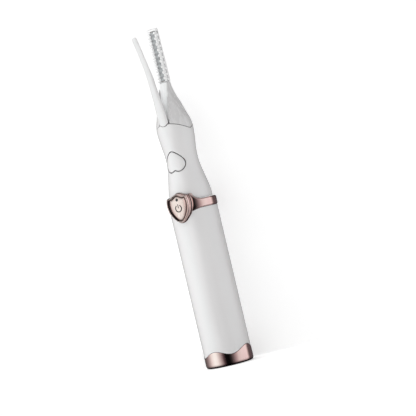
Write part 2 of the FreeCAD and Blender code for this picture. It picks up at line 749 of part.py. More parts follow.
@piece
def comb_guard():
    """Rounded bar with a front channel, fine teeth on the left and coarse on the right."""
    low, high, front, back = dim.comb_low, dim.comb_high, dim.comb_front, dim.comb_back
    comb = new_body("comb_block")
    pad(comb, "XY_Plane", [rect(-dim.comb_half, front, dim.comb_half, back)], high - low, low)
    doc.recompute()
    edges = []
    for number, edge in enumerate(comb.Shape.Edges, 1):
        span = edge_span(edge)
        on_top = edge.BoundBox.ZMin > high.value - 0.5
        if abs(span.z) > 1 or (on_top and abs(span.x) > 1):
            edges.append(number)
    round_edges(comb, "comb_round", edges, 0.45)
    channel = rect(-dim.channel_half, low - 1, dim.channel_half, high - 1.1)
    pocket(comb, "XZ_Plane", [channel], 4.0, -1.25, reverse=True)

    ahead, middle, behind = front - 0.3, front + 0.2, front + 0.95
    fine = rect(ahead, low + 0.9, behind, low + 0.9 + 0.62)
    gap_row(comb, "comb_fine", fine, -dim.channel_half + 0.1, False,
            dim.fine_pitch, dim.fine_count)
    start = low + 1.15
    coarse = [(ahead, start - 0.25), (middle, start), (behind, start + 0.45),
              (behind, start + 0.75), (middle, start + 1.2), (ahead, start + 1.45)]
    gap_row(comb, "comb_coarse", coarse, dim.channel_half - 0.1, True,
            dim.coarse_pitch, dim.coarse_count)
    # the back leans forward towards the top
    lean = [(back + 0.3, 121.6), (back + 0.3, 144.5), (back - 0.6, 144.5), (back, 121.6)]
    pocket(comb, "YZ_Plane", [lean], 8.0, symmetric=True)
    return comb


def heater_layer(name, y, thick):
    return box(name, -dim.heater_half, y, dim.heater_low,
               2 * dim.heater_half, thick, dim.heater_high - dim.heater_low)


@piece
def heater_plate():
    return heater_layer("heater_plate", dim.heater_face, dim.heater_thick)


@piece
def heater_insulator():
    return heater_layer("heater_insulator", dim.heater_face + dim.heater_thick,
                        dim.insulator_thick)


@piece
def thermal_sensor():
    """A bead with a short neck below it."""
    y = 0.78
    bead = doc.addObject("Part::Sphere", "sensor_bead")
    bead.Radius = 0.36
    place(bead, 0, y, 131.0)
    return fuse("thermal_sensor", bead, rod("sensor_neck", 0, y, 128.6, 0.2, 2.2))


def heater_wire(x):
    """A wire from the board's top, back to the passage and up to the comb."""
    y = dim.wire_y.value
    route = [(-5.2, 71.2), (-3.4, 73.6), (-0.6, 76.6), (y - 0.12, 79.2), (y, 82.0), (y, 100.0),
             (y, 122.6)]
    path = spline([point(x, y_at, z) for y_at, z in route])
    start = path.FirstParameter
    ring = Part.makeCircle(dim.wire_radius.value, path.valueAt(start), path.tangentAt(start))
    return Part.Wire(path).makePipeShell([Part.Wire(ring)], True, False)


@piece
def heater_wires():
    return group("heater_wires", feature("heater_wire_left", heater_wire(-dim.wire_half)),
                 feature("heater_wire_right", heater_wire(dim.wire_half)))


# ---------------------------------------------------------------- clamp jaw and rocker
@piece
def clamp_jaw():
    """The side view crossed with the front view, plus a bored hub."""
    hub = dim.hub_half
    side = new_body("jaw_side")
    pad(side, "YZ_Plane", [JAW_SIDE], 8.0, symmetric=True)
    # right half of the front view: x, z
    half = [(hub, 93), (hub, 102.72), (1.75, 103.1), (dim.lip_half, 103.9),
            (dim.lip_half, 106.5), (2.0, 110.0), (1.75, 113.5), (1.6, 116.5), (1.5, 120.0),
            (1.36, 128.0), (dim.tip_half, 137.0), (dim.tip_half, 139.4), (0.95, 140.2),
            (0.45, 140.6)]
    face = new_body("jaw_face")
    pad(face, "XZ_Plane", [mirrored(half)], 24.0, -2.0)
    blank = doc.addObject("Part::Common", "jaw_blank")
    blank.Base, blank.Tool = side, face
    boss = rod("jaw_hub", -hub, dim.jaw_y, dim.jaw_z, dim.hub_radius, hub * 2, "x")
    bore = rod("jaw_bore", -4, dim.jaw_y, dim.jaw_z, dim.jaw_pin_radius + dim.pin_clear, 8, "x")
    return cut("clamp_jaw", fuse("jaw_joined", blank, boss), bore)


@piece
def jaw_pad():
    """Thin strip on the back edge of the jaw."""
    body = new_body("jaw_pad")
    pad(body, "YZ_Plane", [[(dim.pad_low_y, dim.pad_low_z), (dim.pad_top_y, dim.pad_top_z),
                            (-13.94, 139.96), (-8.609, 122.31)]],
        dim.pad_half * 2, symmetric=True)
    return body


@piece
def jaw_pin():
    return rod("jaw_pin", -dim.pin_half, dim.jaw_y, dim.jaw_z, dim.jaw_pin_radius,
               dim.pin_half * 2, "x")


@piece
def jaw_spring():
    """Coils round the jaw pin, with two straight legs."""
    wire, coil_radius, start_x, pitch, turns, leg = 0.15, 1.12, 1.30, 0.33, 2.75, 2.6
    helix = Part.makeHelix(pitch, pitch * turns, coil_radius)
    # this turn lays the helix axis along +X
    helix.Placement = Placement(point(start_x, dim.jaw_y, dim.jaw_z),
                                Rotation(Vector(1, 1, 1), 120))
    edge = helix.Edges[0]
    first, last = edge.FirstParameter, edge.LastParameter
    start, start_way = edge.valueAt(first), edge.tangentAt(first)
    end, end_way = edge.valueAt(last), edge.tangentAt(last)
    ring = Part.Wire(Part.makeCircle(wire, start, start_way))
    coil = Part.Wire(helix.Edges).makePipeShell([ring], True, True)
    start_leg = Part.makeCylinder(wire, leg, start, start_way * -1.0)
    end_leg = Part.makeCylinder(wire, leg, end, end_way)
    return feature("jaw_spring", coil.fuse(start_leg).fuse(end_leg))


@piece
def rocker():
    body = new_body("rocker_arm")
    pad(body, "YZ_Plane", [ROCKER_SIDE], 2.0, symmetric=True)
    bore = circle(dim.rocker_y, dim.rocker_z, dim.rocker_pin_radius + dim.pin_clear)
    pocket(body, "YZ_Plane", [bore], 8.0, symmetric=True)
    return body


@piece
def rocker_pin():
    half = 3.6
    return rod("rocker_pin", -half, dim.rocker_y, dim.rocker_z, dim.rocker_pin_radius,
               2 * half, "x")


# ---------------------------------------------------------------- electronics
@piece
def circuit_board():
    """Upright board, narrower at the top, with two screw holes."""
    neck_half = 3.6
    body = new_body("circuit_board")
    half = [(dim.board_half, dim.board_low), (dim.board_half, dim.board_step),
            (neck_half, dim.board_step), (neck_half, dim.board_top)]
    pad(body, "XZ_Plane", [mirrored(half)], dim.board_back - dim.board_front, -dim.board_back)
    pocket(body, "XZ_Plane", [circle(0, dim.board_screw_low, SCREW_PASS),
                              circle(0, dim.board_screw_high, SCREW_PASS)],
           4.0, 4.5, reverse=True)
    return body


@piece
def tact_switch():
    """Square block on the board's front with a round well."""
    half, deep = 2.25, 1.6
    body = new_body("tact_switch")
    pad(body, "XZ_Plane", [rect(-half, dim.stem_z - half, half, dim.stem_z + half)],
        deep, -dim.board_front)
    pocket(body, "XZ_Plane", [circle(0, dim.stem_z, 1.25)], 1.0, -dim.board_front + deep)
    return body


@piece
def tact_plunger():
    return rod("tact_plunger", 0, -8.9, dim.stem_z, 1.15, 1.25, "y")


@piece
def led_chip():
    return box("led_chip", -0.8, dim.board_front - 0.6, dim.lamp_z - 0.4, 1.6, 0.6, 0.8)


@piece
def control_chip():
    return box("control_chip", -2.0, dim.board_back, 62.0, 4.0, 0.9, 3.9)


@piece
def charge_chip():
    return box("charge_chip", -1.5, dim.board_back, 9.0, 3.0, 0.8, 1.7)


@piece
def board_passives():
    deep = 0.5
    return group("board_passives", *[
        box("passive_%d" % i, x, dim.board_front - deep, z, 0.9, deep, 1.6)
        for i, (x, z) in enumerate(PASSIVES)])


@piece
def board_screws():
    front = dim.board_front - SCREW_HEAD_TALL
    return group("board_screws", *[
        screw("board_screw_" + end, 0, front, z, 2.6, "y")
        for end, z in (("low", dim.board_screw_low), ("high", dim.board_screw_high))])


@piece
def chassis_tray():
    """Flat-fronted cylinder with a cell bay, two screw bosses and holes in both ends."""
    low, high, bay_low, bay_high = dim.tray_low, dim.tray_high, dim.bay_low, dim.bay_high
    bay = bay_high - bay_low
    blank = cut("tray_blank",
                rod("tray_round", 0, 0, low, dim.tray_radius, high - low),
                box("tray_front", -15, -15, low - 1, 30, dim.tray_flat + 15, 60),
                rod("tray_bore", 0, dim.cell_y, bay_low, dim.cell_radius + 0.15, bay),
                box("tray_back", -3.5, 5, bay_low, 7, 5, bay),
                box("tray_open", -3.8, -6, bay_low, 7.6, 4, bay))
    boss_y = dim.board_back + 0.04
    bosses = [box("tray_boss_low", -2.6, boss_y, low, 5.2, 1.5, bay_low - low),
              box("tray_boss_high", -2.6, boss_y, bay_high, 5.2, 1.5, high - bay_high)]
    return cut("chassis_tray", fuse("tray_all", blank, *bosses),
               rod("tray_hole_low", 0, -7, dim.board_screw_low, SCREW_BORE, 4.6, "y"),
               rod("tray_hole_high", 0, -7, dim.board_screw_high, SCREW_BORE, 4.6, "y"),
               rod("tray_light_low", 0, 2.5, low - 1, 3.6, 6),
               rod("tray_light_high", 0, 2.5, bay_high - 1, 3.6, 6))


@piece
def battery_cell():
    """Cylinder with chamfered ends."""
    chamfer = 0.4
    radius, low, high = dim.cell_radius, dim.cell_low, dim.cell_high
    cell = new_body("battery_cell")
    revolution(cell, [(0, low), (radius - chamfer, low), (radius, low + chamfer),
                      (radius, high - chamfer), (radius - chamfer, high), (0, high)])
    place(cell, 0, dim.cell_y, 0)
    return cell


@piece
def battery_tabs():
    thick, gap = 0.2, 0.02
    return group("battery_tabs", *[
        box(name, -1.5, -5.55, z, 3.0, 8.5, thick)
        for name, z in (("tab_low", dim.cell_low - gap - thick),
                        ("tab_high", dim.cell_high + gap))])


@piece
def battery_foam():
    thick, gap = 0.55, 0.03
    return group("battery_foam", *[
        rod(name, 0, dim.cell_y, z, 6.2, thick)
        for name, z in (("foam_low", dim.bay_low + gap),
                        ("foam_high", dim.bay_high - gap - thick))])


# ---------------------------------------------------------------- build, check, export
built = {}
for build in PIECES:
    label = build.__name__
    built[label] = build()
    built[label].Label = label
doc.recompute()

failed = [obj.Name for obj in doc.Objects if "Invalid" in obj.State or "Error" in obj.State]
if failed:
    raise RuntimeError("failed objects: " + ", ".join(failed))
for label, obj in built.items():
    shape = obj.Shape
    if (shape.isNull() or not shape.isValid() or not shape.Solids
            or min(solid.Volume for solid in shape.Solids) <= 0):
        raise RuntimeError("bad shape: " + label)

os.makedirs("parts", exist_ok=True)
for label, obj in built.items():
    obj.Shape.exportStep("parts/" + label + ".step")
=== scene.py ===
"""A handheld heated comb with a hinged jaw, standing upright on its base.

The handle's axis is Z, with the base cap's underside at z = 0. The shield, thumb button and jaw
face the front, -Y, and +X is on the right seen from there. Shapes are written in millimetres and
scaled to metres as meshes are built. Material, light and camera values are in metres.
"""
import json
import math
import bpy
import bmesh
import numpy as np
from mathutils import Vector, Matrix


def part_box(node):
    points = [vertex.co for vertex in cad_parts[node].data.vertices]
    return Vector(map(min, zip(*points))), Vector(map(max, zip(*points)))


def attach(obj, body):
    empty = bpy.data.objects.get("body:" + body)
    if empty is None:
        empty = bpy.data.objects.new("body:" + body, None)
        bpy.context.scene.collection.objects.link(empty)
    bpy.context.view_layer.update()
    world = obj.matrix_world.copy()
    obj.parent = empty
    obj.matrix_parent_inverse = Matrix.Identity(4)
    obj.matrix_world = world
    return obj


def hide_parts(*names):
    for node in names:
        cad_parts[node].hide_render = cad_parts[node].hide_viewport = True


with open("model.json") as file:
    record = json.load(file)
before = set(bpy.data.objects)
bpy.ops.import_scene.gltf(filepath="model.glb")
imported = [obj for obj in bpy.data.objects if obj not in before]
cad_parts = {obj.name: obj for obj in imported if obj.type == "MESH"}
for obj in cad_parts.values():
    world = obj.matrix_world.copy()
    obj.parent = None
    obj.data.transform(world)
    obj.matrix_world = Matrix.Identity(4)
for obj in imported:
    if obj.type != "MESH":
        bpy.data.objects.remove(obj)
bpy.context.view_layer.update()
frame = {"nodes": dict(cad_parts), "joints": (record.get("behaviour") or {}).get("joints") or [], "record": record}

MM = 0.001
NODES = frame["nodes"]
SCENE = bpy.context.scene


# ------------------------------------------------------------------ frame readings, in mm
def box(node):
    lo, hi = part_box(node)
    return lo / MM, hi / MM


BARREL_HI = box("barrel_tube")[1]
CAP_HI = box("base_cap")[1]
BEZEL_LO, BEZEL_HI = box("ring_bezel")
PLATE_LO, PLATE_HI = box("shield_button")
ARM_HI = box("head_frame")[1]
COMB_LO, COMB_HI = box("comb_guard")
PAD_LO, PAD_HI = box("jaw_pad")
PIPE_LO, PIPE_HI = box("light_pipe")
PORT_LO, PORT_HI = box("usb_socket")
HINGE = next(joint for joint in frame["joints"] if joint["name"] == "jaw_hinge")
PIVOT = Vector(HINGE["pos_m"]) / MM

BARREL_RADIUS = BARREL_HI.x
CAP_RADIUS = CAP_HI.x
STRAP_RADIUS = BEZEL_HI.y

# the strap is the part of the bezel that runs round the back of the handle
BEHIND_AXIS = 6
bezel_points = np.array([vertex.co for vertex in NODES["ring_bezel"].data.vertices], float) / MM
strap_heights = bezel_points[bezel_points[:, 1] > BEHIND_AXIS, 2]
STRAP_BOTTOM, STRAP_TOP = float(strap_heights.min()), float(strap_heights.max())


# ------------------------------------------------------------------ curves and outlines
class Spline:
    """A natural cubic through (position, value) stations, held constant beyond its ends."""

    def __init__(self, stations):
        self.x, self.y = x, y = np.array(stations, float).T
        count = len(x)
        matrix, rhs = np.zeros((count, count)), np.zeros(count)
        matrix[0, 0] = matrix[-1, -1] = 1
        for i in range(1, count - 1):
            before, after = x[i] - x[i - 1], x[i + 1] - x[i]
            matrix[i, i - 1:i + 2] = before, 2 * (before + after), after
            rhs[i] = 6 * ((y[i + 1] - y[i]) / after - (y[i] - y[i - 1]) / before)
        self.bend = np.linalg.solve(matrix, rhs)

    def __call__(self, at):
        at = min(max(at, self.x[0]), self.x[-1])
        i = int(max(np.searchsorted(self.x, at) - 1, 0))
        step = self.x[i + 1] - self.x[i]
        p, q = (self.x[i + 1] - at) / step, (at - self.x[i]) / step
        sag = (p ** 3 - p) * self.bend[i] + (q ** 3 - q) * self.bend[i + 1]
        return float(p * self.y[i] + q * self.y[i + 1] + sag * step * step / 6)


def distances(points):
    """How far along an open line each of its points lies."""
    return np.concatenate([[0], np.cumsum(np.linalg.norm(np.diff(points, axis=0), axis=1))])


def smooth_line(points, count):
    """count evenly spaced points on a smooth open curve through points."""
    points = np.array(points, float)
    along = distances(points)
    curves = [Spline(np.column_stack([along, points[:, axis]])) for axis in (0, 1)]
    return [tuple(curve(at) for curve in curves) for at in np.linspace(0, along[-1], count)]


def smooth_loop(points, count, steps=12):
    """count evenly spaced points on a smooth closed curve through points."""
    points = np.array(points, float)
    fine = []
    for i in range(len(points)):
        a, b, c, d = (points[(i + k) % len(points)] for k in (-1, 0, 1, 2))
        for step in range(steps):
            t = step / steps
            fine.append(0.5 * ((2 * b) + (c - a) * t + (2 * a - 5 * b + 4 * c - d) * t * t
                               + (3 * b - a - 3 * c + d) * t ** 3))
    fine = np.array(fine + [fine[0]])
    along = distances(fine)
    at = np.linspace(0, along[-1], count, endpoint=False)
    return np.stack([np.interp(at, along, fine[:, 0]), np.interp(at, along, fine[:, 1])], 1)


def inset_loop(points, inset):
    """A clockwise closed loop moved inwards along its normals."""
    tangent = np.roll(points, -1, 0) - np.roll(points, 1, 0)
    normal = np.stack([tangent[:, 1], -tangent[:, 0]], 1)
    return points + inset * normal / np.linalg.norm(normal, axis=1)[:, None]


def mirrored(half):
    """Closes a half outline that starts and ends on the axis by mirroring it."""
    return half + [(-x, z) for x, z in reversed(half[1:-1])]


def soften(outline, radii, segments=4):
    """Rounds the corners of a closed outline; radii is one radius or one for each corner."""
    rounded, count = [], len(outline)
    for i, radius in enumerate(np.broadcast_to(radii, count)):
        corner = np.array(outline[i], float)
        if radius <= 0:
            rounded += [tuple(corner)] * (segments + 1)
            continue
        back = np.array(outline[i - 1], float) - corner
        ahead = np.array(outline[(i + 1) % count], float) - corner
        back_length, ahead_length = np.linalg.norm(back), np.linalg.norm(ahead)
        back, ahead = back / back_length, ahead / ahead_length
        half_angle = math.acos(float(np.clip(back @ ahead, -1, 1))) / 2
        reach = min(radius / math.tan(half_angle), 0.49 * back_length, 0.49 * ahead_length)
        for step in range(segments + 1):
            t = step / segments
            rounded.append(tuple((1 - t) ** 2 * (corner + back * reach)
                                 + 2 * t * (1 - t) * corner + t * t * (corner + ahead * reach)))
    return rounded


def rectangle(a_lo, a_hi, b_lo, b_hi):
    return [(a_lo, b_lo), (a_hi, b_lo), (a_hi, b_hi), (a_lo, b_hi)]


def circle(radius, a_mid, b_mid, count=40):
    return [(a_mid + radius * math.cos(angle), b_mid + radius * math.sin(angle))
            for angle in np.linspace(0, 2 * math.pi, count, endpoint=False)]


def half_step_angles(count):
    return [2 * math.pi * (i + 0.5) / count for i in range(count)]


def superellipse(angle, power, half_x=1.0, half_y=1.0):
    """The point at an angle from -Y; a higher power gives a squarer outline."""
    x, y = math.sin(angle), -math.cos(angle)
    reach = (abs(x / half_x) ** power + abs(y / half_y) ** power) ** (-1.0 / power)
    return reach * x, reach * y


# ------------------------------------------------------------------ mesh helpers
def shade(ob, angle=40.0):
    ob.data.shade_smooth()
    ob.data.set_sharp_from_angle(angle=math.radians(angle))


def build(name, verts, faces, smooth=40.0):
    """A mesh object from millimetre points; edges sharper than smooth degrees stay crisp."""
    mesh = bpy.data.meshes.new(name)
    mesh.from_pydata([tuple(c * MM for c in vert) for vert in verts], [], faces)
    mesh.validate()
    bm = bmesh.new()
    bm.from_mesh(mesh)
    bmesh.ops.remove_doubles(bm, verts=bm.verts, dist=1e-8)
    bmesh.ops.recalc_face_normals(bm, faces=bm.faces)
    bm.to_mesh(mesh)
    bm.free()
    ob = bpy.data.objects.new(name, mesh)
    SCENE.collection.objects.link(ob)
    shade(ob, smooth)
    return ob


def bake(ob):
    """Applies every modifier."""
    bpy.context.view_layer.update()
    depsgraph = bpy.context.evaluated_depsgraph_get()
    mesh = bpy.data.meshes.new_from_object(
        ob.evaluated_get(depsgraph), preserve_all_data_layers=True, depsgraph=depsgraph)
    old = ob.data
    ob.modifiers.clear()
    ob.data = mesh
    bpy.data.meshes.remove(old)


def boolean(ob, tools, operation="DIFFERENCE", smooth=40.0):
    """Combines ob with each tool in turn and deletes the tools."""
    for tool in tools:
        modifier = ob.modifiers.new("boolean", "BOOLEAN")
        modifier.operation, modifier.solver, modifier.object = operation, "EXACT", tool
        bake(ob)
        mesh = tool.data
        bpy.data.objects.remove(tool)
        bpy.data.meshes.remove(mesh)
    shade(ob, smooth)


def add_bevel(ob, name, width, angle):
    modifier = ob.modifiers.new(name, "BEVEL")
    modifier.width, modifier.segments = width * MM, 2
    modifier.limit_method, modifier.angle_limit = "ANGLE", math.radians(angle)


def rings(name, loops, wrap=False, smooth=40.0):
    """A skin over equal closed loops, its ends filled by fans or wrapped into a torus."""
    count, levels = len(loops[0]), len(loops)
    verts = [point for loop in loops for point in loop]
    faces = []
    for i in range(levels if wrap else levels - 1):
        here, there = i * count, ((i + 1) % levels) * count
        for j in range(count):
            k = (j + 1) % count
            faces.append((here + j, here + k, there + k, there + j))
    if not wrap:
        for start in (0, (levels - 1) * count):
            verts.append(tuple(np.mean(np.array(verts[start:start + count], float), axis=0)))
            faces += [(start + j, start + (j + 1) % count, len(verts) - 1) for j in range(count)]
    return build(name, verts, faces, smooth)


def lathe(name, profile, smooth=40.0, count=256):
    """profile(angle) gives a closed list of (radius, z); the angle runs from the front, -Y."""
    loops = []
    for i in range(count):
        angle = 2 * math.pi * i / count
        x, y = math.sin(angle), -math.cos(angle)
        loops.append([(radius * x, radius * y, z) for radius, z in profile(angle)])
    return rings(name, loops, wrap=True, smooth=smooth)


def prism(outline, axis, lo, hi, name="tool"):
    """An outline pushed along an axis: (y, z) for x, (x, z) for y, (x, y) for z."""
    position = {"x": lambda a, b, c: (c, a, b),
                "y": lambda a, b, c: (a, c, b),
                "z": lambda a, b, c: (a, b, c)}[axis]
    count = len(outline)
    verts = [position(a, b, end) for end in (lo, hi) for a, b in outline]
    faces = [tuple(range(count)), tuple(reversed(range(count, 2 * count)))]
    faces += [(i, (i + 1) % count, count + (i + 1) % count, count + i) for i in range(count)]
    return build(name, verts, faces)


def paint(ob, look):
    ob.data.materials.clear()
    ob.data.materials.append(LOOKS[look])


def place(ob, body, slot, node=None, look=None):
    """Attaches a piece to its body, in place of a frame node if one is given."""
    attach(ob, body)
    if node:
        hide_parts(node)
    paint(ob, look or slot)


# ------------------------------------------------------------------ shader helpers
def srgb(rgb, factor=1.0, lift=0.0):
    """Linear colour from 0-255 values, each scaled, lifted and held at 255."""
    def linear(value):
        c = min(255, value * factor + lift) / 255.0
        return c / 12.92 if c <= 0.04045 else ((c + 0.055) / 1.055) ** 2.4
    return (*[linear(value) for value in rgb], 1.0)


class Graph:
    """The node tree of a material or world. Values may be numbers, tuples or sockets."""

    def __init__(self, owner):
        owner.use_nodes = True
        self.tree = owner.node_tree

    def add(self, kind, **props):
        node = self.tree.nodes.new(kind)
        for key, value in props.items():
            setattr(node, key, value)
        return node

    def feed(self, socket, value):
        if isinstance(value, bpy.types.NodeSocket):
            self.tree.links.new(value, socket)
        else:
            socket.default_value = value

    def put(self, node, **values):
        for key, value in values.items():
            self.feed(node.inputs[key.replace("_", " ")], value)

    def math(self, operation, *values):
        node = self.add("ShaderNodeMath", operation=operation)
        for socket, value in zip(node.inputs, values):
            self.feed(socket, value)
        return node.outputs[0]

    def remap(self, value, source, target=(0.0, 1.0), **props):
        node = self.add("ShaderNodeMapRange", **props)
        self.put(node, From_Min=source[0], From_Max=source[1],
                 To_Min=target[0], To_Max=target[1], Value=value)
        return node.outputs["Result"]

    def mix(self, factor, a, b):
        """Colour a where factor is 0, colour b where it is 1."""
        node = self.add("ShaderNodeMix", data_type="RGBA")
        self.put(node, Factor=factor)
        self.feed(node.inputs[6], a)
        self.feed(node.inputs[7], b)
        return node.outputs[2]

    def axes(self, vector):
        node = self.add("ShaderNodeSeparateXYZ")
        self.feed(node.inputs[0], vector)
        return node.outputs


class Surface(Graph):
    """A Principled material; coordinates are object metres."""

    def __init__(self, name):
        self.material = bpy.data.materials.new(name)
        super().__init__(self.material)
        self.bsdf = self.tree.nodes["Principled BSDF"]
        self.position = self.add("ShaderNodeTexCoord").outputs["Object"]

    def set(self, **values):
        self.put(self.bsdf, **values)

    def noise(self, scale, detail=3.0, rough=0.5, stretch=None):
        vector = self.position
        if stretch:
            mapping = self.add("ShaderNodeMapping")
            self.put(mapping, Scale=stretch, Vector=vector)
            vector = mapping.outputs["Vector"]
        node = self.add("ShaderNodeTexNoise")
        self.put(node, Scale=scale, Detail=detail, Roughness=rough, Vector=vector)
        return node.outputs["Fac"]

    def waves(self, **values):
        """Bands stacked along Z."""
        node = self.add("ShaderNodeTexWave", wave_type="BANDS", bands_direction="Z")
        self.put(node, Vector=self.position, **values)
        return node.outputs["Fac"]

    def bump(self, height, strength, distance):
        node = self.add("ShaderNodeBump")
        self.put(node, Strength=strength, Distance=distance, Height=height)
        self.set(Normal=node.outputs["Normal"])

    def hollow(self, reach, openness):
        """1 in crevices, 0 in the open; reach is how far away a wall still counts."""
        node = self.add("ShaderNodeAmbientOcclusion", samples=8)
        self.put(node, Distance=reach)
        return self.remap(node.outputs["AO"], source=openness, target=(1.0, 0.0))

    def edge(self, amount):
        """0 on flats, amount on convex edges."""
        geometry = self.add("ShaderNodeNewGeometry")
        convex = self.remap(geometry.outputs["Pointiness"], source=(0.5, 0.58))
        return self.math("MULTIPLY", convex, amount)


# ------------------------------------------------------------------ materials
def white_plastic(name, tint, rough=0.17, coat=0.25, wear=0.35, reach=0.0008,
                  crevice_shade_rgb=(70, 69, 69), openness=(0.25, 0.8), pale=None, dim_left_of=None, glow=0.0):
    """Gloss plastic with a faint flow tone, fine orange peel and hairline scuffs, its crevices and seams darkened
    with painted shade.

    pale: (half width, y, z); painted light: forward faces within that x, behind y and above z turn white, as if
    better lit.
    dim_left_of: the painted crevice shade is only a quarter as dark left of this x.
    """
    s = Surface(name)
    flow = s.noise(scale=60.0, detail=2.0, rough=0.5, stretch=(1, 1, 0.3))
    base = s.mix(s.remap(flow, source=(0.35, 0.65)), srgb(tint), srgb(tint, factor=0.985))
    base = s.mix(s.edge(wear), base, srgb(tint, factor=1.03))
    # painted light: forward faces inside the given box are whitened as if better lit
    if pale:
        half_width, min_y, min_z = pale
        at = s.axes(s.position)
        facing = s.axes(s.add("ShaderNodeNewGeometry").outputs["Normal"])
        inside = s.math("LESS_THAN", s.math("ABSOLUTE", at["X"], 0.0), half_width)
        inside = s.math("MULTIPLY", inside, s.math("GREATER_THAN", at["Y"], min_y))
        inside = s.math("MULTIPLY", inside, s.math("GREATER_THAN", at["Z"], min_z))
        inside = s.math("MULTIPLY", inside, s.math("LESS_THAN", facing["Y"], -0.5))
        base = s.mix(inside, base, srgb((255, 255, 255)))
    # painted shade: crevices and seams are darkened towards a dark grey
    painted_shade = s.hollow(reach, openness)
    if dim_left_of is not None:
        at = s.axes(s.position)
        side_share = s.remap(at["X"], source=(dim_left_of, dim_left_of + 0.0002),
                             target=(0.25, 1.0))
        painted_shade = s.math("MULTIPLY", painted_shade, side_share)
    if glow:
        # painted light: a faint glow of its own wherever the surface is open, though the part is no lamp
        s.set(Emission_Color=(1, 1, 1, 1),
              Emission_Strength=s.math("MULTIPLY", s.math("SUBTRACT", 1.0, painted_shade), glow))
    s.set(Base_Color=s.mix(painted_shade, base, srgb(crevice_shade_rgb)))
    scuff = s.noise(scale=900.0, detail=4.0, rough=0.6, stretch=(1, 1, 0.12))
    s.set(Roughness=s.remap(scuff, source=(0.3, 0.75), target=(rough * 0.8, rough * 1.45)))
    s.bump(s.noise(scale=1500.0, detail=2.0, rough=0.5), strength=0.05, distance=0.00003)
    s.set(Coat_Weight=coat, Coat_Roughness=0.12, IOR=1.5, Specular_IOR_Level=0.7)
    return s.material


def rose_metal(name, light, dark, rough, brushed=0.0):
    """Plated metal: slow drift of tone, fine polishing lines round it, paler edges, and painted shade darkening
    its hollows and steps.
    """
    s = Surface(name)
    drift = s.noise(scale=150.0)
    base = s.mix(s.remap(drift, source=(0.3, 0.7)), srgb(light), srgb(dark))
    base = s.mix(s.edge(0.5), base, srgb((250, 226, 220)))
    # painted shade: hollows and steps darken towards a deep brown
    base = s.mix(s.hollow(reach=0.0018, openness=(0.4, 1.0)), base, srgb((50, 22, 22)))
    lines = s.noise(scale=1400.0, detail=4.0, rough=0.65, stretch=(0.08, 0.08, 1.6))
    s.set(Base_Color=base, Metallic=1.0,
          Roughness=s.remap(lines, source=(0.3, 0.75), target=(rough * 0.7, rough * 1.7)))
    s.bump(lines, strength=0.04 + brushed, distance=0.00002)
    return s.material


def plain(name, rgb, rough, metallic=0.0, grain=600.0, strength=0.12, vary=0.08, coat=0.0):
    """A moulded, coated or drawn surface; vary is how far the grain darkens it."""
    s = Surface(name)
    speckle = s.noise(scale=grain, detail=4.0, rough=0.6)
    base = s.mix(s.remap(speckle, source=(0.3, 0.7)), srgb(rgb), srgb(rgb, factor=1 - vary))
    s.set(Base_Color=s.mix(s.edge(0.4), base, srgb(rgb, factor=1.12, lift=6)),
          Roughness=s.remap(speckle, source=(0.3, 0.7), target=(rough * 0.85, min(1, rough * 1.2))))
    s.bump(speckle, strength=strength, distance=0.00003)
    s.set(Metallic=metallic, Coat_Weight=coat)
    return s.material


def board_paint(name):
    """Solder mask over copper tracks."""
    s = Surface(name)
    tracks = s.add("ShaderNodeTexBrick")
    s.put(tracks, Scale=420.0, Mortar_Size=0.035, Vector=s.position, Color1=srgb((18, 84, 46)),
          Color2=srgb((22, 96, 52)), Mortar=srgb((96, 150, 70)))
    patches = s.remap(s.noise(scale=300.0), source=(0.3, 0.7), target=(0.0, 0.4))
    s.set(Base_Color=s.mix(patches, tracks.outputs["Color"], srgb((12, 62, 34))), Roughness=0.32)
    s.bump(tracks.outputs["Fac"], strength=0.2, distance=0.00003)
    return s.material


def dark_lens(name):
    """Dark polished plastic."""
    s = Surface(name)
    cloud = s.remap(s.noise(scale=900.0), source=(0.3, 0.7))
    s.set(Base_Color=s.mix(cloud, srgb((58, 36, 34)), srgb((36, 22, 22))),
          Roughness=0.08, IOR=1.49, Coat_Weight=0.6)
    s.bump(s.noise(scale=1800.0), strength=0.02, distance=0.00001)
    return s.material


def wrap_film(name):
    """Blue film with faint bands."""
    s = Surface(name)
    bands = s.waves(Scale=60.0, Distortion=2.0)
    s.set(Base_Color=s.mix(s.remap(bands, source=(0.0, 1.0), target=(0.0, 0.35)),
                           srgb((54, 92, 158)), srgb((38, 66, 122))),
          Roughness=0.28, Coat_Weight=0.3)
    s.bump(bands, strength=0.08, distance=0.00003)
    return s.material


def heater_face(name):
    """Grey coated strip with faint cross ribs."""
    s = Surface(name)
    ribs = s.waves(Scale=160.0, Distortion=0.6, Detail=1.0)
    s.set(Base_Color=s.mix(s.remap(ribs, source=(0.0, 1.0)),
                           srgb((188, 188, 190)), srgb((160, 159, 161))),
          Roughness=0.42, Metallic=0.2)
    s.bump(ribs, strength=0.35, distance=0.00006)
    return s.material


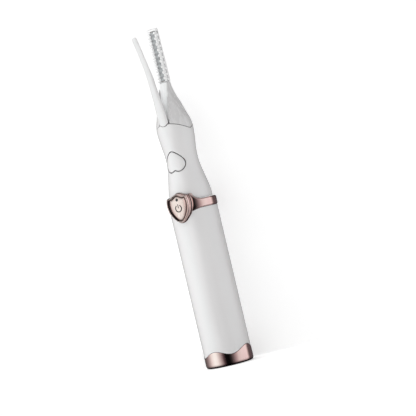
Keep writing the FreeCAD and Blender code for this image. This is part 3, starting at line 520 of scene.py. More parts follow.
LOOKS = {
    "gloss_white": white_plastic("gloss_white", (241, 240, 240), openness=(0.28, 0.85)),
    # the rear arm's slot floor is whitened with painted light
    "satin_white": white_plastic("satin_white", (230, 229, 229), rough=0.24, coat=0.1, wear=0.0,
                                 pale=(0.00236, -0.0035, 0.104)),
    # the comb carries darker painted crevice shade and a faint painted glow
    "comb_white": white_plastic("comb_white", (252, 252, 252), rough=0.2, coat=0.2, reach=0.0009,
                                crevice_shade_rgb=(70, 70, 72), openness=(0.22, 0.86),
                                dim_left_of=-0.0008, glow=0.1),
    "rose_gold": rose_metal("rose_gold", light=(240, 210, 203), dark=(230, 197, 191), rough=0.08),
    "rose_plate": rose_metal("rose_plate", light=(234, 204, 197), dark=(222, 188, 181),
                             rough=0.15, brushed=0.04),
    "inner_plastic": plain("inner_plastic", (214, 214, 208), rough=0.5),
    "black_plastic": plain("black_plastic", (26, 26, 28), rough=0.45),
    "clear": dark_lens("lens_dark"),
    "steel": plain("steel", (176, 178, 182), rough=0.22, metallic=1.0, grain=900.0, strength=0.06),
    "spring_steel": plain("spring_steel", (146, 146, 150), rough=0.3, metallic=1.0, grain=900.0,
                          strength=0.1),
    "heater_metal": heater_face("heater_metal"),
    "insulator": plain("insulator", (190, 166, 122), rough=0.6, grain=500.0, strength=0.3,
                       vary=0.2),
    "sensor_resin": plain("sensor_resin", (44, 30, 26), rough=0.2, grain=700.0, strength=0.1,
                          vary=0.2, coat=0.5),
    "wire_red": plain("wire_red", (172, 60, 52), rough=0.5),
    "silicone": plain("silicone", (216, 216, 218), rough=0.55, grain=1600.0, strength=0.18,
                      vary=0.03),
    "board_green": board_paint("board_green"),
    "lamp_white": plain("lamp_white", (244, 236, 206), rough=0.3),
    "ceramic_tan": plain("ceramic_tan", (146, 112, 82), rough=0.5),
    "cell_wrap": wrap_film("cell_wrap"),
    "nickel": plain("nickel", (186, 182, 172), rough=0.3, metallic=1.0),
    "foam_grey": plain("foam_grey", (92, 92, 94), rough=0.9, grain=1500.0, strength=0.8, vary=0.3),
    "mark": plain("mark_ink", (26, 14, 14), rough=0.5),
}

SLOT_OF = {part["node"]: part["material_slot"] for part in frame["record"]["subparts"]}
for node, ob in NODES.items():
    paint(ob, SLOT_OF[node])

# ------------------------------------------------------------------ base cap
CAP_WALL, CAP_FLOOR = 0.57, 1.2
CAP_BORE = 0.02
TWO_WAVE, FOUR_WAVE = 0.225, 1.14    # sizes of the rim's two and four waves per turn
PORT_CLEARANCE = 0.25


def cap_rim(angle):
    """The cap's wavy rim, which peaks at the cap's top on the left and right sides."""
    mean = CAP_HI.z - (TWO_WAVE + FOUR_WAVE)
    return mean - TWO_WAVE * math.cos(2 * angle) + FOUR_WAVE * math.cos(4 * angle)


def cap_profile(angle):
    z, inner = cap_rim(angle), CAP_RADIUS - CAP_WALL
    return soften([(CAP_BORE, 0.0), (CAP_RADIUS, 0.0), (CAP_RADIUS, z), (inner, z),
                   (inner, CAP_FLOOR), (CAP_BORE, CAP_FLOOR)],
                  [0, 1.4, 0.14, 0.1, 0.3, 0], segments=8)


cap = lathe("cap_shell", cap_profile)
port_y = (PORT_LO.y + PORT_HI.y) / 2
port_half_x = PORT_HI.x + PORT_CLEARANCE
port_half_y = (PORT_HI.y - PORT_LO.y) / 2 + PORT_CLEARANCE
port_outline = rectangle(-port_half_x, port_half_x, port_y - port_half_y, port_y + port_half_y)
boolean(cap, [prism(soften(port_outline, port_half_y * 0.98, segments=10), "z", -1, 2)])
place(cap, "handle", "rose_gold", "base_cap")

# ------------------------------------------------------------------ barrel
BARREL_BOTTOM, BARREL_INNER = 1.3, BARREL_RADIUS - 1.3
SEAM = 0.06                              # gap between the cap's rim and the barrel's skin
SPIGOT_RADIUS = BARREL_RADIUS - 0.5      # the part that goes inside the cap
STRAP_SEAT = BARREL_RADIUS - 0.25        # the step behind the strap


def barrel_profile(angle):
    z, top = cap_rim(angle) + SEAM, STRAP_BOTTOM - 0.1
    return soften([(BARREL_RADIUS, z), (BARREL_RADIUS, top), (STRAP_SEAT, top),
                   (STRAP_SEAT, BARREL_HI.z), (BARREL_INNER, BARREL_HI.z),
                   (BARREL_INNER, BARREL_BOTTOM), (SPIGOT_RADIUS, BARREL_BOTTOM),
                   (SPIGOT_RADIUS, z)],
                  [0.1, 0.08, 0, 0.05, 0, 0, 0, 0])


place(lathe("barrel_skin", barrel_profile), "handle", "gloss_white", "barrel_tube")

# ------------------------------------------------------------------ neck
# outer radius of the neck: (z, radius)
NECK = Spline([
    (70.4, 9.0), (71.6, 8.98), (73.6, 8.86), (76.0, 8.5), (81.5, 7.42), (85.0, 6.84),
    (88.0, 6.66), (92.0, 6.92), (96.0, 7.4), (99.0, 7.66), (101.5, 7.68), (105.0, 7.4)])
NECK_BOTTOM, NECK_WALL, NECK_ROWS = 70.42, 1.15, 56
MOUTH_SIDE, MOUTH_SLOPE, MOUTH_ROUND = 99.65, 0.567, 1.6
MOUTH_OUTER, MOUTH_INNER = 7.5, 6.35     # radii at which the mouth's height is read
# the round notch in the front of the mouth, below the jaw
NOTCH_Z, NOTCH_RADIUS, NOTCH_HALF = 104.85, 2.55, 2.5


def mouth(y):
    """Height of the neck's top edge: lowest at the sides, rising to front and back."""
    return MOUTH_SIDE + MOUTH_SLOPE * (math.sqrt(y * y + MOUTH_ROUND ** 2) - MOUTH_ROUND)


def neck_top(angle, radius):
    x, y = radius * math.sin(angle), -radius * math.cos(angle)
    if y < 0 and abs(x) < NOTCH_HALF:
        return min(mouth(y), NOTCH_Z - math.sqrt(NOTCH_RADIUS ** 2 - x * x))
    return mouth(y)


def neck_profile(angle):
    outer, inner = neck_top(angle, MOUTH_OUTER), neck_top(angle, MOUTH_INNER)
    outside = [(NECK(z), z) for z in np.linspace(NECK_BOTTOM, outer - 0.16, NECK_ROWS + 1)]
    # the lip, as (inset from the neck's outer radius, drop) on the outer and inner rims
    lip = [(NECK(outer) - inset, outer - drop)
           for inset, drop in ((0.03, 0.07), (0.10, 0.015), (0.2, 0.0))]
    lip += [(NECK(inner) - inset, inner - drop)
            for inset, drop in ((1.02, 0.0), (1.12, 0.04), (NECK_WALL, 0.14))]
    inside = [(NECK(z) - NECK_WALL, z)
              for z in np.linspace(inner - 0.2, NECK_BOTTOM, NECK_ROWS + 1)]
    return outside + lip + inside


# thumb button outline, right half from the top down: (x, z)
EGG_HALF = [
    (0.0, 91.4), (1.3, 90.8), (2.75, 89.5), (3.95, 87.8), (4.4, 86.2), (4.15, 84.7),
    (3.2, 83.5), (1.95, 83.1), (0.85, 83.38), (0.0, 83.75)]
EGG_MID = np.array([0, 87.0])
EGG_SHRINK = 4.6         # inset at which the scaled outline would shrink to a point
EGG_GAP = 0.36
egg = smooth_loop(mirrored(EGG_HALF), 120)

neck = lathe("neck_skin", neck_profile)
boolean(neck, [prism([tuple(point) for point in inset_loop(egg, -EGG_GAP)], "y", -12.0, -2.0)],
        smooth=30)
place(neck, "handle", "gloss_white", "neck_shell")

# ------------------------------------------------------------------ thumb button
# flat back: (inset, y)
THUMB_BACK = [(0.35, -4.72), (0.05, -4.78), (0.0, -4.9)]
# edge of the front: (inset, height above the neck)
THUMB_EDGE = [(0.0, -0.12), (0.015, 0.02), (0.06, 0.10), (0.14, 0.165), (0.28, 0.205),
              (0.5, 0.235), (0.9, 0.26)]
# crown of the front: (scale about the middle, height above the neck)
THUMB_CROWN = [(1 - 1.5 / EGG_SHRINK, 0.28), (1 - 2.2 / EGG_SHRINK, 0.29), (0.3, 0.295),
               (0.12, 0.295)]


def over_neck(outline, height):
    """Wraps an (x, z) outline over the neck's front."""
    return [(x, -math.sqrt(max((NECK(z) + height) ** 2 - x * x, 0.01)), z) for x, z in outline]


loops = [[(x, y, z) for x, z in inset_loop(egg, inset)] for inset, y in THUMB_BACK]
loops += [over_neck(inset_loop(egg, inset), height) for inset, height in THUMB_EDGE]
loops += [over_neck(egg * scale + EGG_MID * (1 - scale), height) for scale, height in THUMB_CROWN]
thumb = rings("thumb_pad", loops, smooth=50)
boss_outline = soften(rectangle(-0.9, 0.9, 84.8, 86.0), 0.15, segments=3)
boolean(thumb, [prism(boss_outline, "y", -5.2, -3.3)], "UNION", smooth=50)
place(thumb, "thumb", "gloss_white", "thumb_button")

# ------------------------------------------------------------------ shield bezel
# right half of the shield's outline: (x, z)
SHIELD_TOP = [(0.0, 74.35), (1.0, 74.2), (2.2, 73.68), (3.4, 73.15), (4.4, 72.93), (5.4, 73.0)]
SHIELD_SIDE = [(5.4, 73.0), (5.87, 71.4), (6.0, 69.6), (5.7, 67.6), (4.75, 65.4), (3.1, 63.3),
               (1.3, 61.95), (0.0, 61.65)]
SHIELD_WIDTH, SHIELD_HEIGHT, SHIELD_MID = 12.0, 12.7, 68.0
SHIELD = mirrored(smooth_line(SHIELD_TOP, 21) + smooth_line(SHIELD_SIDE, 45)[1:])
# bezel section from the outside round to its well: (inset, depth behind the bezel's front)
BEZEL_SECTION = [
    (0.0, 2.25), (0.0, 2.12), (0.03, 2.04), (0.1, 1.96), (0.22, 1.89), (0.38, 1.83),
    (0.47, 1.76), (0.495, 1.66), (0.505, 1.5), (0.515, 1.2), (0.53, 0.8), (0.55, 0.52),
    (0.6, 0.34), (0.69, 0.16), (0.79, 0.05), (0.9, 0.0), (1.05, 0.0), (1.14, 0.04),
    (1.24, 0.12), (1.45, 0.24), (1.68, 0.34), (1.82, 0.42), (1.89, 0.52), (1.9, 0.7),
    (1.9, 1.09), (2.6, 1.1)]


def shield_loop(inset, squeeze=1.3):
    """The shield shrunk about its middle: sides move in by inset, height drops by squeeze x it."""
    scale_x = (SHIELD_WIDTH - 2 * inset) / SHIELD_WIDTH
    scale_z = (SHIELD_HEIGHT - squeeze * inset) / SHIELD_HEIGHT
    return [(x * scale_x, SHIELD_MID + (z - SHIELD_MID) * scale_z) for x, z in SHIELD]


def seat_y(x, z):
    """The handle's surface that the bezel sits on."""
    if z < STRAP_BOTTOM:
        radius = BARREL_RADIUS + 0.05
    elif z < STRAP_TOP:
        radius = STRAP_RADIUS - 0.35
    else:
        radius = NECK(z) + 0.08
    return -math.sqrt(max(radius * radius - x * x, 1.0))


loops = [[(x, seat_y(x, z) - forward, z) for x, z in shield_loop(inset)]
         for inset, forward in ((0.3, 0.0), (0.02, 0.02))]
loops += [[(x, BEZEL_LO.y + depth, z) for x, z in shield_loop(inset)]
          for inset, depth in BEZEL_SECTION]
bezel = rings("shield_bezel", loops, smooth=50)

# ------------------------------------------------------------------ strap
STRAP_LOW, STRAP_HIGH = 66.4, 70.05      # the plain band's edges
# how far the front half flares towards the shield: (x, below, above)
FLARE_X, FLARE_BELOW, FLARE_ABOVE = np.array([
    (0.0, 0.8, 2.45), (5.0, 0.8, 2.45), (5.8, 0.62, 2.2), (6.8, 0.34, 1.15),
    (7.6, 0.16, 0.5), (8.6, 0.02, 0.06), (9.6, 0.0, 0.0), (11.0, 0.0, 0.0)]).T
# stepped edge of the band: (inset, distance from the edge)
STRAP_EDGE = [(0.26, 0.0), (0.19, 0.03), (0.15, 0.1), (0.14, 0.26), (0.1, 0.33), (0.03, 0.38),
              (0.0, 0.5), (0.0, 0.9)]


def strap_profile(angle):
    angle = min(angle, 2 * math.pi - angle)
    x = STRAP_RADIUS * math.sin(angle) if angle < math.pi / 2 else FLARE_X[-1]
    low = STRAP_LOW - float(np.interp(x, FLARE_X, FLARE_BELOW))
    high = STRAP_HIGH + float(np.interp(x, FLARE_X, FLARE_ABOVE))
    ease = min(1.0, max(0.0, (x - 4.6) / 0.8))
    outer = STRAP_RADIUS - 0.3 * (1 - ease * ease * (3 - 2 * ease))     # thinner at the shield
    inner = STRAP_RADIUS - 0.5
    inner_top = inner if high < 70.3 else NECK(high) + 0.1
    return ([(inner, low + 0.05), (inner + 0.06, low)]
            + [(outer - inset, low + rise) for inset, rise in STRAP_EDGE]
            + [(outer, (low + high) / 2)]
            + [(outer - inset, high - drop) for inset, drop in reversed(STRAP_EDGE)]
            + [(inner_top + 0.06, high), (inner_top, high - 0.05)])


place(lathe("strap_band", strap_profile, smooth=50), "handle", "rose_gold")
place(bezel, "handle", "rose_gold", "ring_bezel")

# ------------------------------------------------------------------ shield button
PLATE_FRONT = PLATE_LO.y
PLATE_INSET = 2.0        # from the shield's outline to the plate's
# crowned plate with a bevelled rim: (inset, depth behind the front)
PLATE_SECTION = [(0.1, 0.58), (0.0, 0.55), (0.0, 0.47), (0.03, 0.42), (0.1, 0.37), (0.24, 0.31),
                 (0.5, 0.235), (0.85, 0.16), (1.3, 0.09), (1.9, 0.04), (2.6, 0.012), (3.3, 0.0)]
PIPE_RADIUS, PIPE_Z = PIPE_HI.x, (PIPE_LO.z + PIPE_HI.z) / 2
# domed window section: (radius, depth behind the plate's front)
LENS_SECTION = [(0.004, -0.02), (0.35, -0.005), (0.5, 0.03), (0.6, 0.09), (PIPE_RADIUS, 0.16),
                (PIPE_RADIUS, 3.35), (0.5, 3.42), (0.004, 3.42)]

plate = rings("shield_plate", [
    [(x, PLATE_FRONT + depth, z)
     for x, z in shield_loop(PLATE_INSET + inset, squeeze=1.3 + 0.45 * inset / 3.3)]
    for inset, depth in PLATE_SECTION], smooth=50)
stem = prism(circle(1.7, 0, 67.0), "y", PLATE_FRONT + 0.5, PLATE_HI.y)
lamp_hole = prism(circle(0.66, 0, PIPE_Z), "y", PLATE_FRONT - 1, PLATE_FRONT + 3)
boolean(plate, [stem], "UNION", smooth=50)
boolean(plate, [lamp_hole], smooth=50)
place(plate, "power", "rose_plate", "shield_button")

lens = rings("lamp_lens", [
    [(x, PLATE_FRONT + depth, z) for x, z in circle(radius, 0, PIPE_Z, count=48)]
    for radius, depth in LENS_SECTION], smooth=60)
place(lens, "power", "clear", "light_pipe")

# ------------------------------------------------------------------ power symbol
MARK_BACK, MARK_FRONT = PLATE_FRONT + 0.06, PLATE_FRONT - 0.01
MARK_RADIUS = 1.42
# rounded section: (share of the half width, share of the height)
MARK_SECTION = [(-1, 0), (-1, 0.5), (-0.8, 0.85), (-0.4, 1), (0.4, 1), (0.8, 0.85), (1, 0.5),
                (1, 0)]


def ribbon(name, line, width):
    """A flat strip along (x, z) points."""
    loops = []
    line = np.array(line, float)
    for i, (x, z) in enumerate(line):
        tangent = line[min(i + 1, len(line) - 1)] - line[max(i - 1, 0)]
        tangent /= np.linalg.norm(tangent)
        loops.append([(x - tangent[1] * across * width / 2,
                       MARK_BACK + (MARK_FRONT - MARK_BACK) * height,
                       z + tangent[0] * across * width / 2) for across, height in MARK_SECTION])
    return rings(name, loops, smooth=60)


arc = [(MARK_RADIUS * math.sin(angle), SHIELD_MID + MARK_RADIUS * math.cos(angle))
       for angle in np.linspace(math.radians(32), math.radians(328), 60)]
stroke = [(0, SHIELD_MID + 0.1 + 1.65 * i / 8) for i in range(9)]
for ob in (ribbon("power_ring", arc, width=0.52), ribbon("power_bar", stroke, width=0.5)):
    place(ob, "power", "rose_plate", look="mark")

# ------------------------------------------------------------------ rear arm
# cross-sections: z, half width, half depth, y of the middle, superellipse power
ARM_STATIONS = np.array([
    (98.5, 7.62, 7.62, 0.0, 2.0), (101.0, 7.64, 7.64, 0.0, 2.0), (103.0, 7.44, 7.44, 0.0, 2.0),
    (104.75, 6.92, 6.92, 0.0, 2.05), (106.8, 5.98, 6.38, 0.0, 2.2), (109.3, 4.95, 5.75, 0.0, 2.5),
    (111.8, 4.0, 4.85, 0.0, 3.0), (114.1, 3.1, 3.9, 0.0, 3.5), (116.4, 2.5, 3.1, 0.1, 4.2),
    (118.3, 2.2, 2.25, 0.3, 5.0), (120.4, 2.1, 1.72, 0.42, 6.0)])
ARM_HALF_X, ARM_HALF_Y, ARM_MID_Y, ARM_POWER = [
    Spline(ARM_STATIONS[:, (0, column)]) for column in (1, 2, 3, 4)]
ARM_TOP, ARM_TOP_Y = ARM_HI.z, 0.42
ARM_ROWS = 44
PLUG_BOTTOM, PLUG_RADIUS = 95.2, 5.75    # the round plug inside the neck


def arm_point(angle, z, level, shrink=0.0):
    """A point at height level on the section that belongs to z."""
    x, y = superellipse(angle, ARM_POWER(z), ARM_HALF_X(z) - shrink, ARM_HALF_Y(z) - shrink)
    return x, ARM_MID_Y(z) + y, level


def arm_column(angle):
    """The arm's skin at one angle, from the plug's underside to the middle of the top."""
    sin, cos = math.sin(angle), math.cos(angle)
    bottom = mouth(MOUTH_OUTER * cos) + 0.17
    plug = ((0.02, PLUG_BOTTOM), (PLUG_RADIUS - 0.05, PLUG_BOTTOM),
            (PLUG_RADIUS, PLUG_BOTTOM + 0.1), (PLUG_RADIUS, mouth(PLUG_RADIUS * cos) + 0.1))
    column = [(radius * sin, -radius * cos, z) for radius, z in plug]
    column += [arm_point(angle, bottom + 0.02, bottom, shrink=0.2),
               arm_point(angle, bottom + 0.04, bottom + 0.04, shrink=0.07)]
    for z in np.linspace(bottom + 0.14, ARM_TOP - 0.12, ARM_ROWS + 1):
        column.append(arm_point(angle, z, z))
    column += [arm_point(angle, ARM_TOP - 0.04, ARM_TOP - 0.04, shrink=0.04),
               arm_point(angle, ARM_TOP, ARM_TOP, shrink=0.13),
               (0.01 * sin, ARM_TOP_Y - 0.01 * cos, ARM_TOP)]
    return column


arm = rings("rear_arm", list(zip(*[arm_column(angle) for angle in half_step_angles(200)])),
            smooth=45)
# the slot down the front: its side outline (y, z) met with its front outline (x, z)
SLOT_SIDE = [(-12, 103), (-2.8, 103), (-2.8, 112.4), (-2.35, 115.1), (-1.55, 119.6),
             (-1.0, 121.5), (-12, 121.5)]
SLOT_FRONT = [(-2.3, 102), (2.3, 102), (2.3, 109), (1.95, 115), (1.72, 121.6), (-1.72, 121.6),
              (-1.95, 115), (-2.3, 109)]
slot = prism(SLOT_SIDE, "x", -4, 4)
boolean(slot, [prism(SLOT_FRONT, "y", -13, 3)], "INTERSECT")
# the well goes down through the plug and the gate opens its front
well = prism(rectangle(-2.45, 2.45, -8.5, 1.6), "z", 94, 103.8)
gate = prism(rectangle(-2.6, 2.6, -9.6, -6.4), "z", 94, 104.6)
boolean(arm, [slot, well, gate])
place(arm, "handle", "satin_white", "head_frame")

# ------------------------------------------------------------------ comb
COMB_HALF, COMB_FRONT, COMB_BACK = COMB_HI.x, COMB_LO.y, COMB_HI.y
COMB_BOTTOM, COMB_TOP = COMB_LO.z, COMB_HI.z
COMB_BASE = COMB_BOTTOM + 0.05
CHANNEL_HALF = 0.95
CHANNEL_RIGHT = CHANNEL_HALF - 0.1
TEETH, TOOTH_PITCH, TOOTH_THICK, TOOTH_LENGTH = 15, 1.42, 0.86, 0.95
# rounded tooth: (share of the thickness, share of the length)
TOOTH = [(0.0, 0.0), (0.06, 0.35), (0.13, 0.75), (0.3, 0.97), (0.5, 1.0), (0.7, 0.97),
         (0.87, 0.75), (0.94, 0.35), (1.0, 0.0)]
KNOBS, KNOB_PITCH = 9, 2.4


def toothed_wall():
    """The left wall, its front edge cut into rounded teeth."""
    root = COMB_FRONT + TOOTH_LENGTH
    outline = [(COMB_BACK - 1.2, COMB_BASE), (root, COMB_BASE)]
    for i in range(TEETH):
        start = COMB_BOTTOM + 0.42 + TOOTH_PITCH * i
        outline += [(root - TOOTH_LENGTH * out, start + TOOTH_THICK * along)
                    for along, out in TOOTH]
    outline += [(root, COMB_TOP - 0.9), (COMB_BACK - 1.2, COMB_TOP - 0.5)]
    return prism(outline, "x", -COMB_HALF, -CHANNEL_HALF)


def pebbles(centres, radii, segments=14):
    """Small ellipsoids in one mesh, one at each centre."""
    verts, faces = [], []
    around = segments * 2
    for x, y, z in centres:
        first = len(verts)
        for i in range(1, segments):
            for j in range(around):
                down, turn = math.pi * i / segments, math.pi * j / segments
                verts.append((x + radii[0] * math.sin(down) * math.cos(turn),
                              y + radii[1] * math.sin(down) * math.sin(turn),
                              z + radii[2] * math.cos(down)))
        top, last = len(verts), len(verts) - around
        verts += [(x, y, z + radii[2]), (x, y, z - radii[2])]
        for row in range(first, last, around):
            faces += [(row + j, row + around + j, row + around + (j + 1) % around,
                       row + (j + 1) % around) for j in range(around)]
        faces += [(top, first + j, first + (j + 1) % around) for j in range(around)]
        faces += [(top + 1, last + (j + 1) % around, last + j) for j in range(around)]
    return build("tool", verts, faces)


# the body's side outline: (y, z)
comb = prism([
    (COMB_FRONT + 1.0, COMB_BASE), (COMB_BACK - 0.35, COMB_BASE), (COMB_BACK, COMB_BASE + 0.3),
    (COMB_BACK, COMB_BASE + 1.1), (COMB_BACK - 0.57, COMB_TOP - 0.9),
    (COMB_BACK - 0.68, COMB_TOP - 0.35), (COMB_BACK - 1.0, COMB_TOP - 0.02),
    (COMB_BACK - 1.5, COMB_TOP), (COMB_FRONT + 0.7, COMB_TOP - 0.4),
    (COMB_FRONT + 0.45, COMB_TOP - 0.75), (COMB_FRONT + 0.5, COMB_TOP - 1.1),
    (COMB_FRONT + 1.0, COMB_TOP - 1.35)], "x", -COMB_HALF, COMB_HALF, name="comb_body")
trough = prism(rectangle(-CHANNEL_HALF, CHANNEL_RIGHT, COMB_BASE + 0.45, COMB_TOP - 1.25),
               "y", -5, COMB_BACK - 0.85)
left_wall = toothed_wall()
# the right wall's plan: (x, y)
right_wall = prism([
    (CHANNEL_RIGHT, COMB_BACK - 1.3), (CHANNEL_RIGHT, COMB_FRONT + 1.15),
    (CHANNEL_HALF + 0.05, COMB_FRONT + 1.0), (COMB_HALF - 0.5, COMB_FRONT + 1.0),
    (COMB_HALF - 0.34, COMB_FRONT + 1.2), (COMB_HALF - 0.34, COMB_BACK - 1.3)],
    "z", COMB_BASE, COMB_TOP - 0.55)
boolean(comb, [left_wall, right_wall], "UNION")
groove = prism(rectangle(COMB_HALF - 0.42, COMB_HALF + 1, COMB_FRONT - 0.6, COMB_BACK - 0.95),
               "z", COMB_BASE + 0.25, COMB_TOP - 1.3)
boolean(comb, [trough, groove])
# two staggered rows of knobs on the right wall: one on its front, one lower on its outer side
front_knobs = pebbles([(CHANNEL_HALF + 0.34, COMB_FRONT + 0.86,
                        COMB_BOTTOM + 1.75 + KNOB_PITCH * i) for i in range(KNOBS)],
                      radii=(0.52, 0.86, 0.68))
outer_knobs = pebbles([(COMB_HALF - 0.42, COMB_FRONT + 2.62 - 0.06 * i,
                        COMB_BOTTOM + 0.95 + KNOB_PITCH * i) for i in range(KNOBS)],
                      radii=(0.46, 0.88, 0.64))
boolean(comb, [front_knobs, outer_knobs], "UNION")
add_bevel(comb, "bevel", width=0.05, angle=50)
bake(comb)
shade(comb, 50)
place(comb, "handle", "comb_white", "comb_guard")

# ------------------------------------------------------------------ jaw
# y of the front face: (z, y)
JAW_FRONT = Spline([
    (102.5, -7.75), (105, -8.05), (108, -8.5), (112, -8.9), (116, -9.36), (119.5, -9.77),
    (123, -10.18), (127.3, -10.98), (131.4, -12.09), (137.3, -13.87), (140.0, -14.69),
    (140.6, -14.74)])
# y of the back face: (z, y)
JAW_BACK = Spline([
    (102.5, -6.45), (106.6, -6.715), (109.3, -6.886), (112, -7.106), (114.8, -7.476),
    (118, -8.14), (120, -8.368), (122.25, -8.594), (127.0, -10.03), (132.0, -11.54),
    (137.0, -13.05), (140.2, -14.01), (140.6, -14.12)])
# half width: (z, x)
JAW_HALF = Spline([
    (102.5, 2.1), (103.9, 2.1), (106.5, 2.1), (110.0, 2.0), (113.5, 1.75), (116.5, 1.6),
    (120, 1.5), (128, 1.36), (137, 1.25), (140.6, 1.2)])
JAW_BOTTOM, JAW_ROUND_END, JAW_SHOULDER = 102.5, 104.2, 139.7
JAW_ROUND_RADIUS = 2.42      # the rounded bottom, which follows the neck's notch
JAW_ANGLES = half_step_angles(40)
# rounded tip: (height above the shoulder, scale)
JAW_TIP = [(0.3, 0.97), (0.55, 0.87), (0.72, 0.71), (0.83, 0.47), (0.88, 0.2)]
# the lever inside the neck: (y, z)
LEVER_SIDE = [
    (-7.0, 104.0), (-7.0, 106.6), (-5.4, 105.4), (-4.75, 102.6), (-2.75, 99.9), (-2.5, 98.9),
    (-2.5, 93.6), (-3.75, 93.6), (-3.75, 97.0), (-5.35, 98.3), (-5.45, 99.4), (-6.05, 101.4),
    (-6.05, 103.2), (-6.6, 103.6)]


def jaw_body_loop(z):
    front, back, half = JAW_FRONT(z), JAW_BACK(z), JAW_HALF(z)
    loop = []
    for angle in JAW_ANGLES:
        across, depth = superellipse(angle, 4.4)
        x, level = across * half, z
        y = (front + back) / 2 + depth * (back - front) / 2
        y += 0.1 * half * (across * across) * (0.5 - 0.5 * depth)    # bows the front's sides back
        if z < JAW_ROUND_END:
            share = (JAW_ROUND_END - z) / (JAW_ROUND_END - JAW_BOTTOM)
            dip = NOTCH_Z - math.sqrt(max(JAW_ROUND_RADIUS ** 2 - x * x, 0.3))
            level = z * (1 - share) + dip * share
        loop.append((x, y, level))
    return loop


def jaw_tip_loop(z, scale):
    front, back, half = JAW_FRONT(z), JAW_BACK(z), JAW_HALF(z)
    loop = []
    for angle in JAW_ANGLES:
        across, depth = superellipse(angle, 3.0)
        y = (front + back) / 2 + depth * (back - front) / 2 * (0.5 + 0.5 * scale)
        loop.append((across * half * scale, y, z))
    return loop


loops = [jaw_body_loop(z) for z in np.linspace(JAW_BOTTOM, JAW_SHOULDER, 74)]
loops += [jaw_tip_loop(JAW_SHOULDER + rise, scale) for rise, scale in JAW_TIP]
jaw = rings("jaw_arm", loops, smooth=50)
lever = prism(soften(LEVER_SIDE, 0.25, segments=3), "x", -1.1, 1.1)
boolean(lever, [prism(circle(0.8, PIVOT.y, PIVOT.z, count=36), "x", -2, 2)])
boolean(jaw, [lever], "UNION", smooth=50)
place(jaw, "jaw", "gloss_white", "clamp_jaw")

# ------------------------------------------------------------------ jaw pad
PAD_HALF, PAD_THICK, PAD_ROWS, PAD_END = 0.74, 0.44, 90, 0.3
# section: (share of the half width, depth below the crown)
PAD_SECTION = [
    (-1, 0.44), (-1, 0.2), (-0.94, 0.07), (-0.8, 0.01), (-0.4, 0.0), (0.0, 0.0), (0.4, 0.0),
    (0.8, 0.01), (0.94, 0.07), (1, 0.2), (1, 0.44)]

# a strip from the low end to the high end, in (y, z), tapering over PAD_END at both
pad_low, pad_high = np.array([PAD_HI.y, PAD_LO.z]), np.array([-13.53, PAD_HI.z])
pad_length = float(np.linalg.norm(pad_high - pad_low))
pad_along = (pad_high - pad_low) / np.linalg.norm(pad_high - pad_low)
pad_normal = np.array([-pad_along[1], pad_along[0]])
loops = []
for i in range(PAD_ROWS + 1):
    travel = pad_length * i / PAD_ROWS
    to_end = min(travel, pad_length - travel)
    full = 1.0
    if to_end <= PAD_END:
        full = math.sqrt(max(0.0, 1 - (1 - to_end / PAD_END) ** 2)) * 0.85 + 0.15
    loop = []
    for across, depth in PAD_SECTION:
        sink = PAD_THICK - (PAD_THICK - depth) * (0.6 + 0.4 * full)
        y, z = pad_low + pad_along * travel + pad_normal * sink
        loop.append((across * PAD_HALF * (0.7 + 0.3 * full), y, z))
    loops.append(loop)
place(rings("jaw_cushion", loops, smooth=60), "jaw", "silicone", "jaw_pad")

# ------------------------------------------------------------------ softened frame nodes
for node in ("heater_plate", "usb_socket", "usb_tongue", "rocker", "end_plug", "tact_switch",
             "chassis_tray", "circuit_board", "control_chip", "charge_chip"):
    add_bevel(NODES[node], "edge", width=0.06, angle=40)

# ------------------------------------------------------------------ floor and card
CAMERA_BEARING = math.radians(33.0)      # from -Y towards +X
to_camera = Vector((math.sin(CAMERA_BEARING), -math.cos(CAMERA_BEARING), 0))
side = Vector((math.cos(CAMERA_BEARING), math.sin(CAMERA_BEARING), 0))
up = Vector((0, 0, 1))
FLOOR_HALF, CARD_SIZE, CARD_BACK = 3, 0.5, 0.012
PAPER = (244, 244, 244)


def paper(name, lift, from_camera_only=False):
    """Matt paper; lift is a little light of its own, seen by the camera only."""
    s = Surface(name)
    blotch = s.remap(s.noise(scale=14.0), source=(0.3, 0.7))
    s.set(Base_Color=s.mix(blotch, srgb(PAPER), srgb(PAPER, factor=0.995)),
          Roughness=0.9, Specular_IOR_Level=0.0, Emission_Color=(1, 1, 1, 1))
    path = s.add("ShaderNodeLightPath")
    s.set(Emission_Strength=s.math("MULTIPLY", path.outputs["Is Camera Ray"], lift))
    if from_camera_only:
        # clear to rays that don't run along the camera's bearing
        geometry = s.add("ShaderNodeNewGeometry")
        dot = s.add("ShaderNodeVectorMath", operation="DOT_PRODUCT")
        s.feed(dot.inputs[0], geometry.outputs["Incoming"])
        s.feed(dot.inputs[1], tuple(to_camera))
        show = s.remap(dot.outputs["Value"], source=(0.86, 0.93))
        clear = s.add("ShaderNodeBsdfTransparent")
        blend = s.add("ShaderNodeMixShader")
        s.put(blend, Fac=show)
        s.feed(blend.inputs[1], clear.outputs[0])
        s.feed(blend.inputs[2], s.bsdf.outputs[0])
        s.put(s.tree.nodes["Material Output"], Surface=blend.outputs[0])
    return s.material


def sheet(name, corners, material):
    mesh = bpy.data.meshes.new(name)
    mesh.from_pydata([tuple(corner) for corner in corners], [], [(0, 1, 2, 3)])
    ob = bpy.data.objects.new(name, mesh)
    SCENE.collection.objects.link(ob)
    ob.data.materials.append(material)
    ob.visible_glossy = False


floor_corners = rectangle(-FLOOR_HALF, FLOOR_HALF, -FLOOR_HALF, FLOOR_HALF)
sheet("floor", [(x, y, 0) for x, y in floor_corners], paper("floor_pale", lift=0.36))
# the card stands upright just behind the axis, facing the camera
foot = to_camera * -CARD_BACK
left_foot, right_foot = foot - side * CARD_SIZE, foot + side * CARD_SIZE
sheet("card", [left_foot, right_foot, right_foot + up * CARD_SIZE, left_foot + up * CARD_SIZE],
      paper("card_pale", lift=0.34, from_camera_only=True))

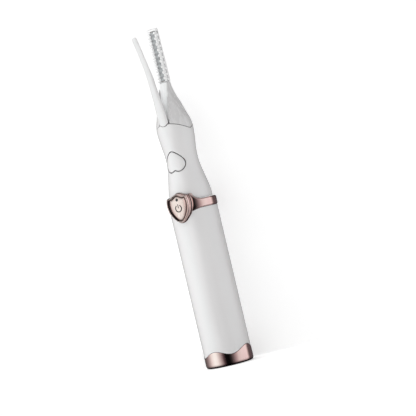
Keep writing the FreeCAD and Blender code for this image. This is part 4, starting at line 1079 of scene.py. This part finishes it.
# ------------------------------------------------------------------ world
# Tables run round the horizon: degrees from the camera's bearing, then a grey or r, g, b.
# what mirrors see: pale panels left and right, a dark gap in front and behind
REFLECTED = [
    (-180, .10), (-146, .12), (-124, .26, .24, .25), (-106, .55, .56, .57),
    (-90, .95, 1.05, 1.05), (-72, 1.12, 1.38, 1.38), (-58, 1.08, 1.3, 1.3), (-46, .78, .86, .86),
    (-35, .44, .43, .44), (-24, .10, .07, .08), (-14, .004), (2, .004), (12, .03),
    (23, .18, .16, .17), (35, .48, .44, .46), (48, .82, .84, .85), (62, .92, .96, .98),
    (90, .96, .96, 1.0), (99, 1.0, 1.0, 1.03), (106, .62, .6, .6), (111, .27, .25, .25),
    (117, .13, .11, .12), (150, .10, .09, .10)]
# what lights the dull surfaces: brighter from the left
DIFFUSE = [(-180, 1.05), (-120, 1.46), (-75, 1.46), (-40, 1.02), (0, .58), (35, .38), (80, .5),
           (130, .95), (179, 1.05)]
BACKDROP = (1.05, 1.05, 1.05, 1)

world = bpy.data.worlds.new("studio")
SCENE.world = world
sky = Graph(world)
sky.tree.nodes.clear()


def horizon(position, stops):
    """A colour ramp round the horizon; position runs 0 to 1."""
    ramp = sky.add("ShaderNodeValToRGB")
    sky.put(ramp, Fac=position)
    elements = ramp.color_ramp.elements
    while len(elements) > 1:
        elements.remove(elements[-1])
    for i, (degrees, *color) in enumerate(stops):
        place_on_ramp = (degrees + 180) / 360.0
        element = elements[0] if i == 0 else elements.new(place_on_ramp)
        element.position = place_on_ramp
        element.color = (*(color * 3 if len(color) == 1 else color), 1)
    return ramp.outputs["Color"]


direction = sky.axes(sky.add("ShaderNodeTexCoord").outputs["Generated"])
bearing = sky.math("ARCTAN2", direction["X"], sky.math("MULTIPLY", direction["Y"], -1.0))
bearing = sky.math("WRAP", sky.math("SUBTRACT", bearing, CAMERA_BEARING), math.pi, -math.pi)
around = sky.remap(bearing, source=(-math.pi, math.pi))
reflected, diffuse = horizon(around, REFLECTED), horizon(around, DIFFUSE)
path = sky.add("ShaderNodeLightPath")
# reflections fade towards floor and ceiling
fade = sky.remap(sky.math("ABSOLUTE", direction["Z"]), source=(0.25, 0.75), target=(1.0, 0.22),
                 interpolation_type="SMOOTHSTEP")
dimmed = sky.add("ShaderNodeVectorMath", operation="SCALE")
sky.feed(dimmed.inputs[0], reflected)
sky.put(dimmed, Scale=fade)
color = sky.mix(path.outputs["Is Glossy Ray"], diffuse, dimmed.outputs["Vector"])
color = sky.mix(path.outputs["Is Camera Ray"], color, BACKDROP)
background = sky.add("ShaderNodeBackground")
sky.put(background, Color=color, Strength=1.0)
world.cycles.sampling_method = "NONE"
sky.put(sky.add("ShaderNodeOutputWorld"), Surface=background.outputs[0])

# ------------------------------------------------------------------ key light
# a square softbox left of the camera, above and aimed at the middle of the handle
KEY_AIM = Vector((0, 0, 0.065))
KEY_BEARING = CAMERA_BEARING + math.radians(-30)
KEY_DISTANCE, KEY_RISE, KEY_SIZE, KEY_POWER = 1.0, 0.2, 0.5, 0.45

key_data = bpy.data.lights.new("key", "AREA")
key_data.shape, key_data.energy = "RECTANGLE", KEY_POWER
key_data.size = key_data.size_y = KEY_SIZE
key = bpy.data.objects.new("key", key_data)
SCENE.collection.objects.link(key)
key_direction = Vector((math.sin(KEY_BEARING), -math.cos(KEY_BEARING), 0))
key_location = KEY_AIM + key_direction * KEY_DISTANCE + Vector((0, 0, KEY_RISE))
key.location = key_location
key.rotation_mode = "QUATERNION"
key.rotation_quaternion = (KEY_AIM - key_location).to_track_quat("-Z", "Y")

# ------------------------------------------------------------------ camera
CAMERA_ROLL = math.radians(13.3)         # the handle leans left by this in the view
CAMERA_DISTANCE = 0.9
VIEW_WIDTH = 0.1733472                   # width seen at the handle's axis
# the view's middle, measured from the base's centre along the view's own axes
VIEW_RIGHT, VIEW_UP = -0.00937575, 0.0650052

camera_data = bpy.data.cameras.new("camera")
camera = bpy.data.objects.new("camera", camera_data)
SCENE.collection.objects.link(camera)
SCENE.camera = camera
camera_data.sensor_width = 36.0
camera_data.lens = camera_data.sensor_width * CAMERA_DISTANCE / VIEW_WIDTH
camera_data.clip_start, camera_data.clip_end = 0.01, 20
roll_cos, roll_sin = math.cos(CAMERA_ROLL), math.sin(CAMERA_ROLL)
target = (up * (VIEW_UP * roll_cos - VIEW_RIGHT * roll_sin)
          + side * (VIEW_RIGHT * roll_cos + VIEW_UP * roll_sin))
camera_right = side * roll_cos - up * roll_sin
camera_up = side * roll_sin + up * roll_cos
camera.matrix_world = Matrix((camera_right, camera_up, to_camera)).transposed().to_4x4()
camera.location = target + to_camera * CAMERA_DISTANCE

SCENE.view_settings.view_transform = "Standard"
SCENE.view_settings.look = "None"
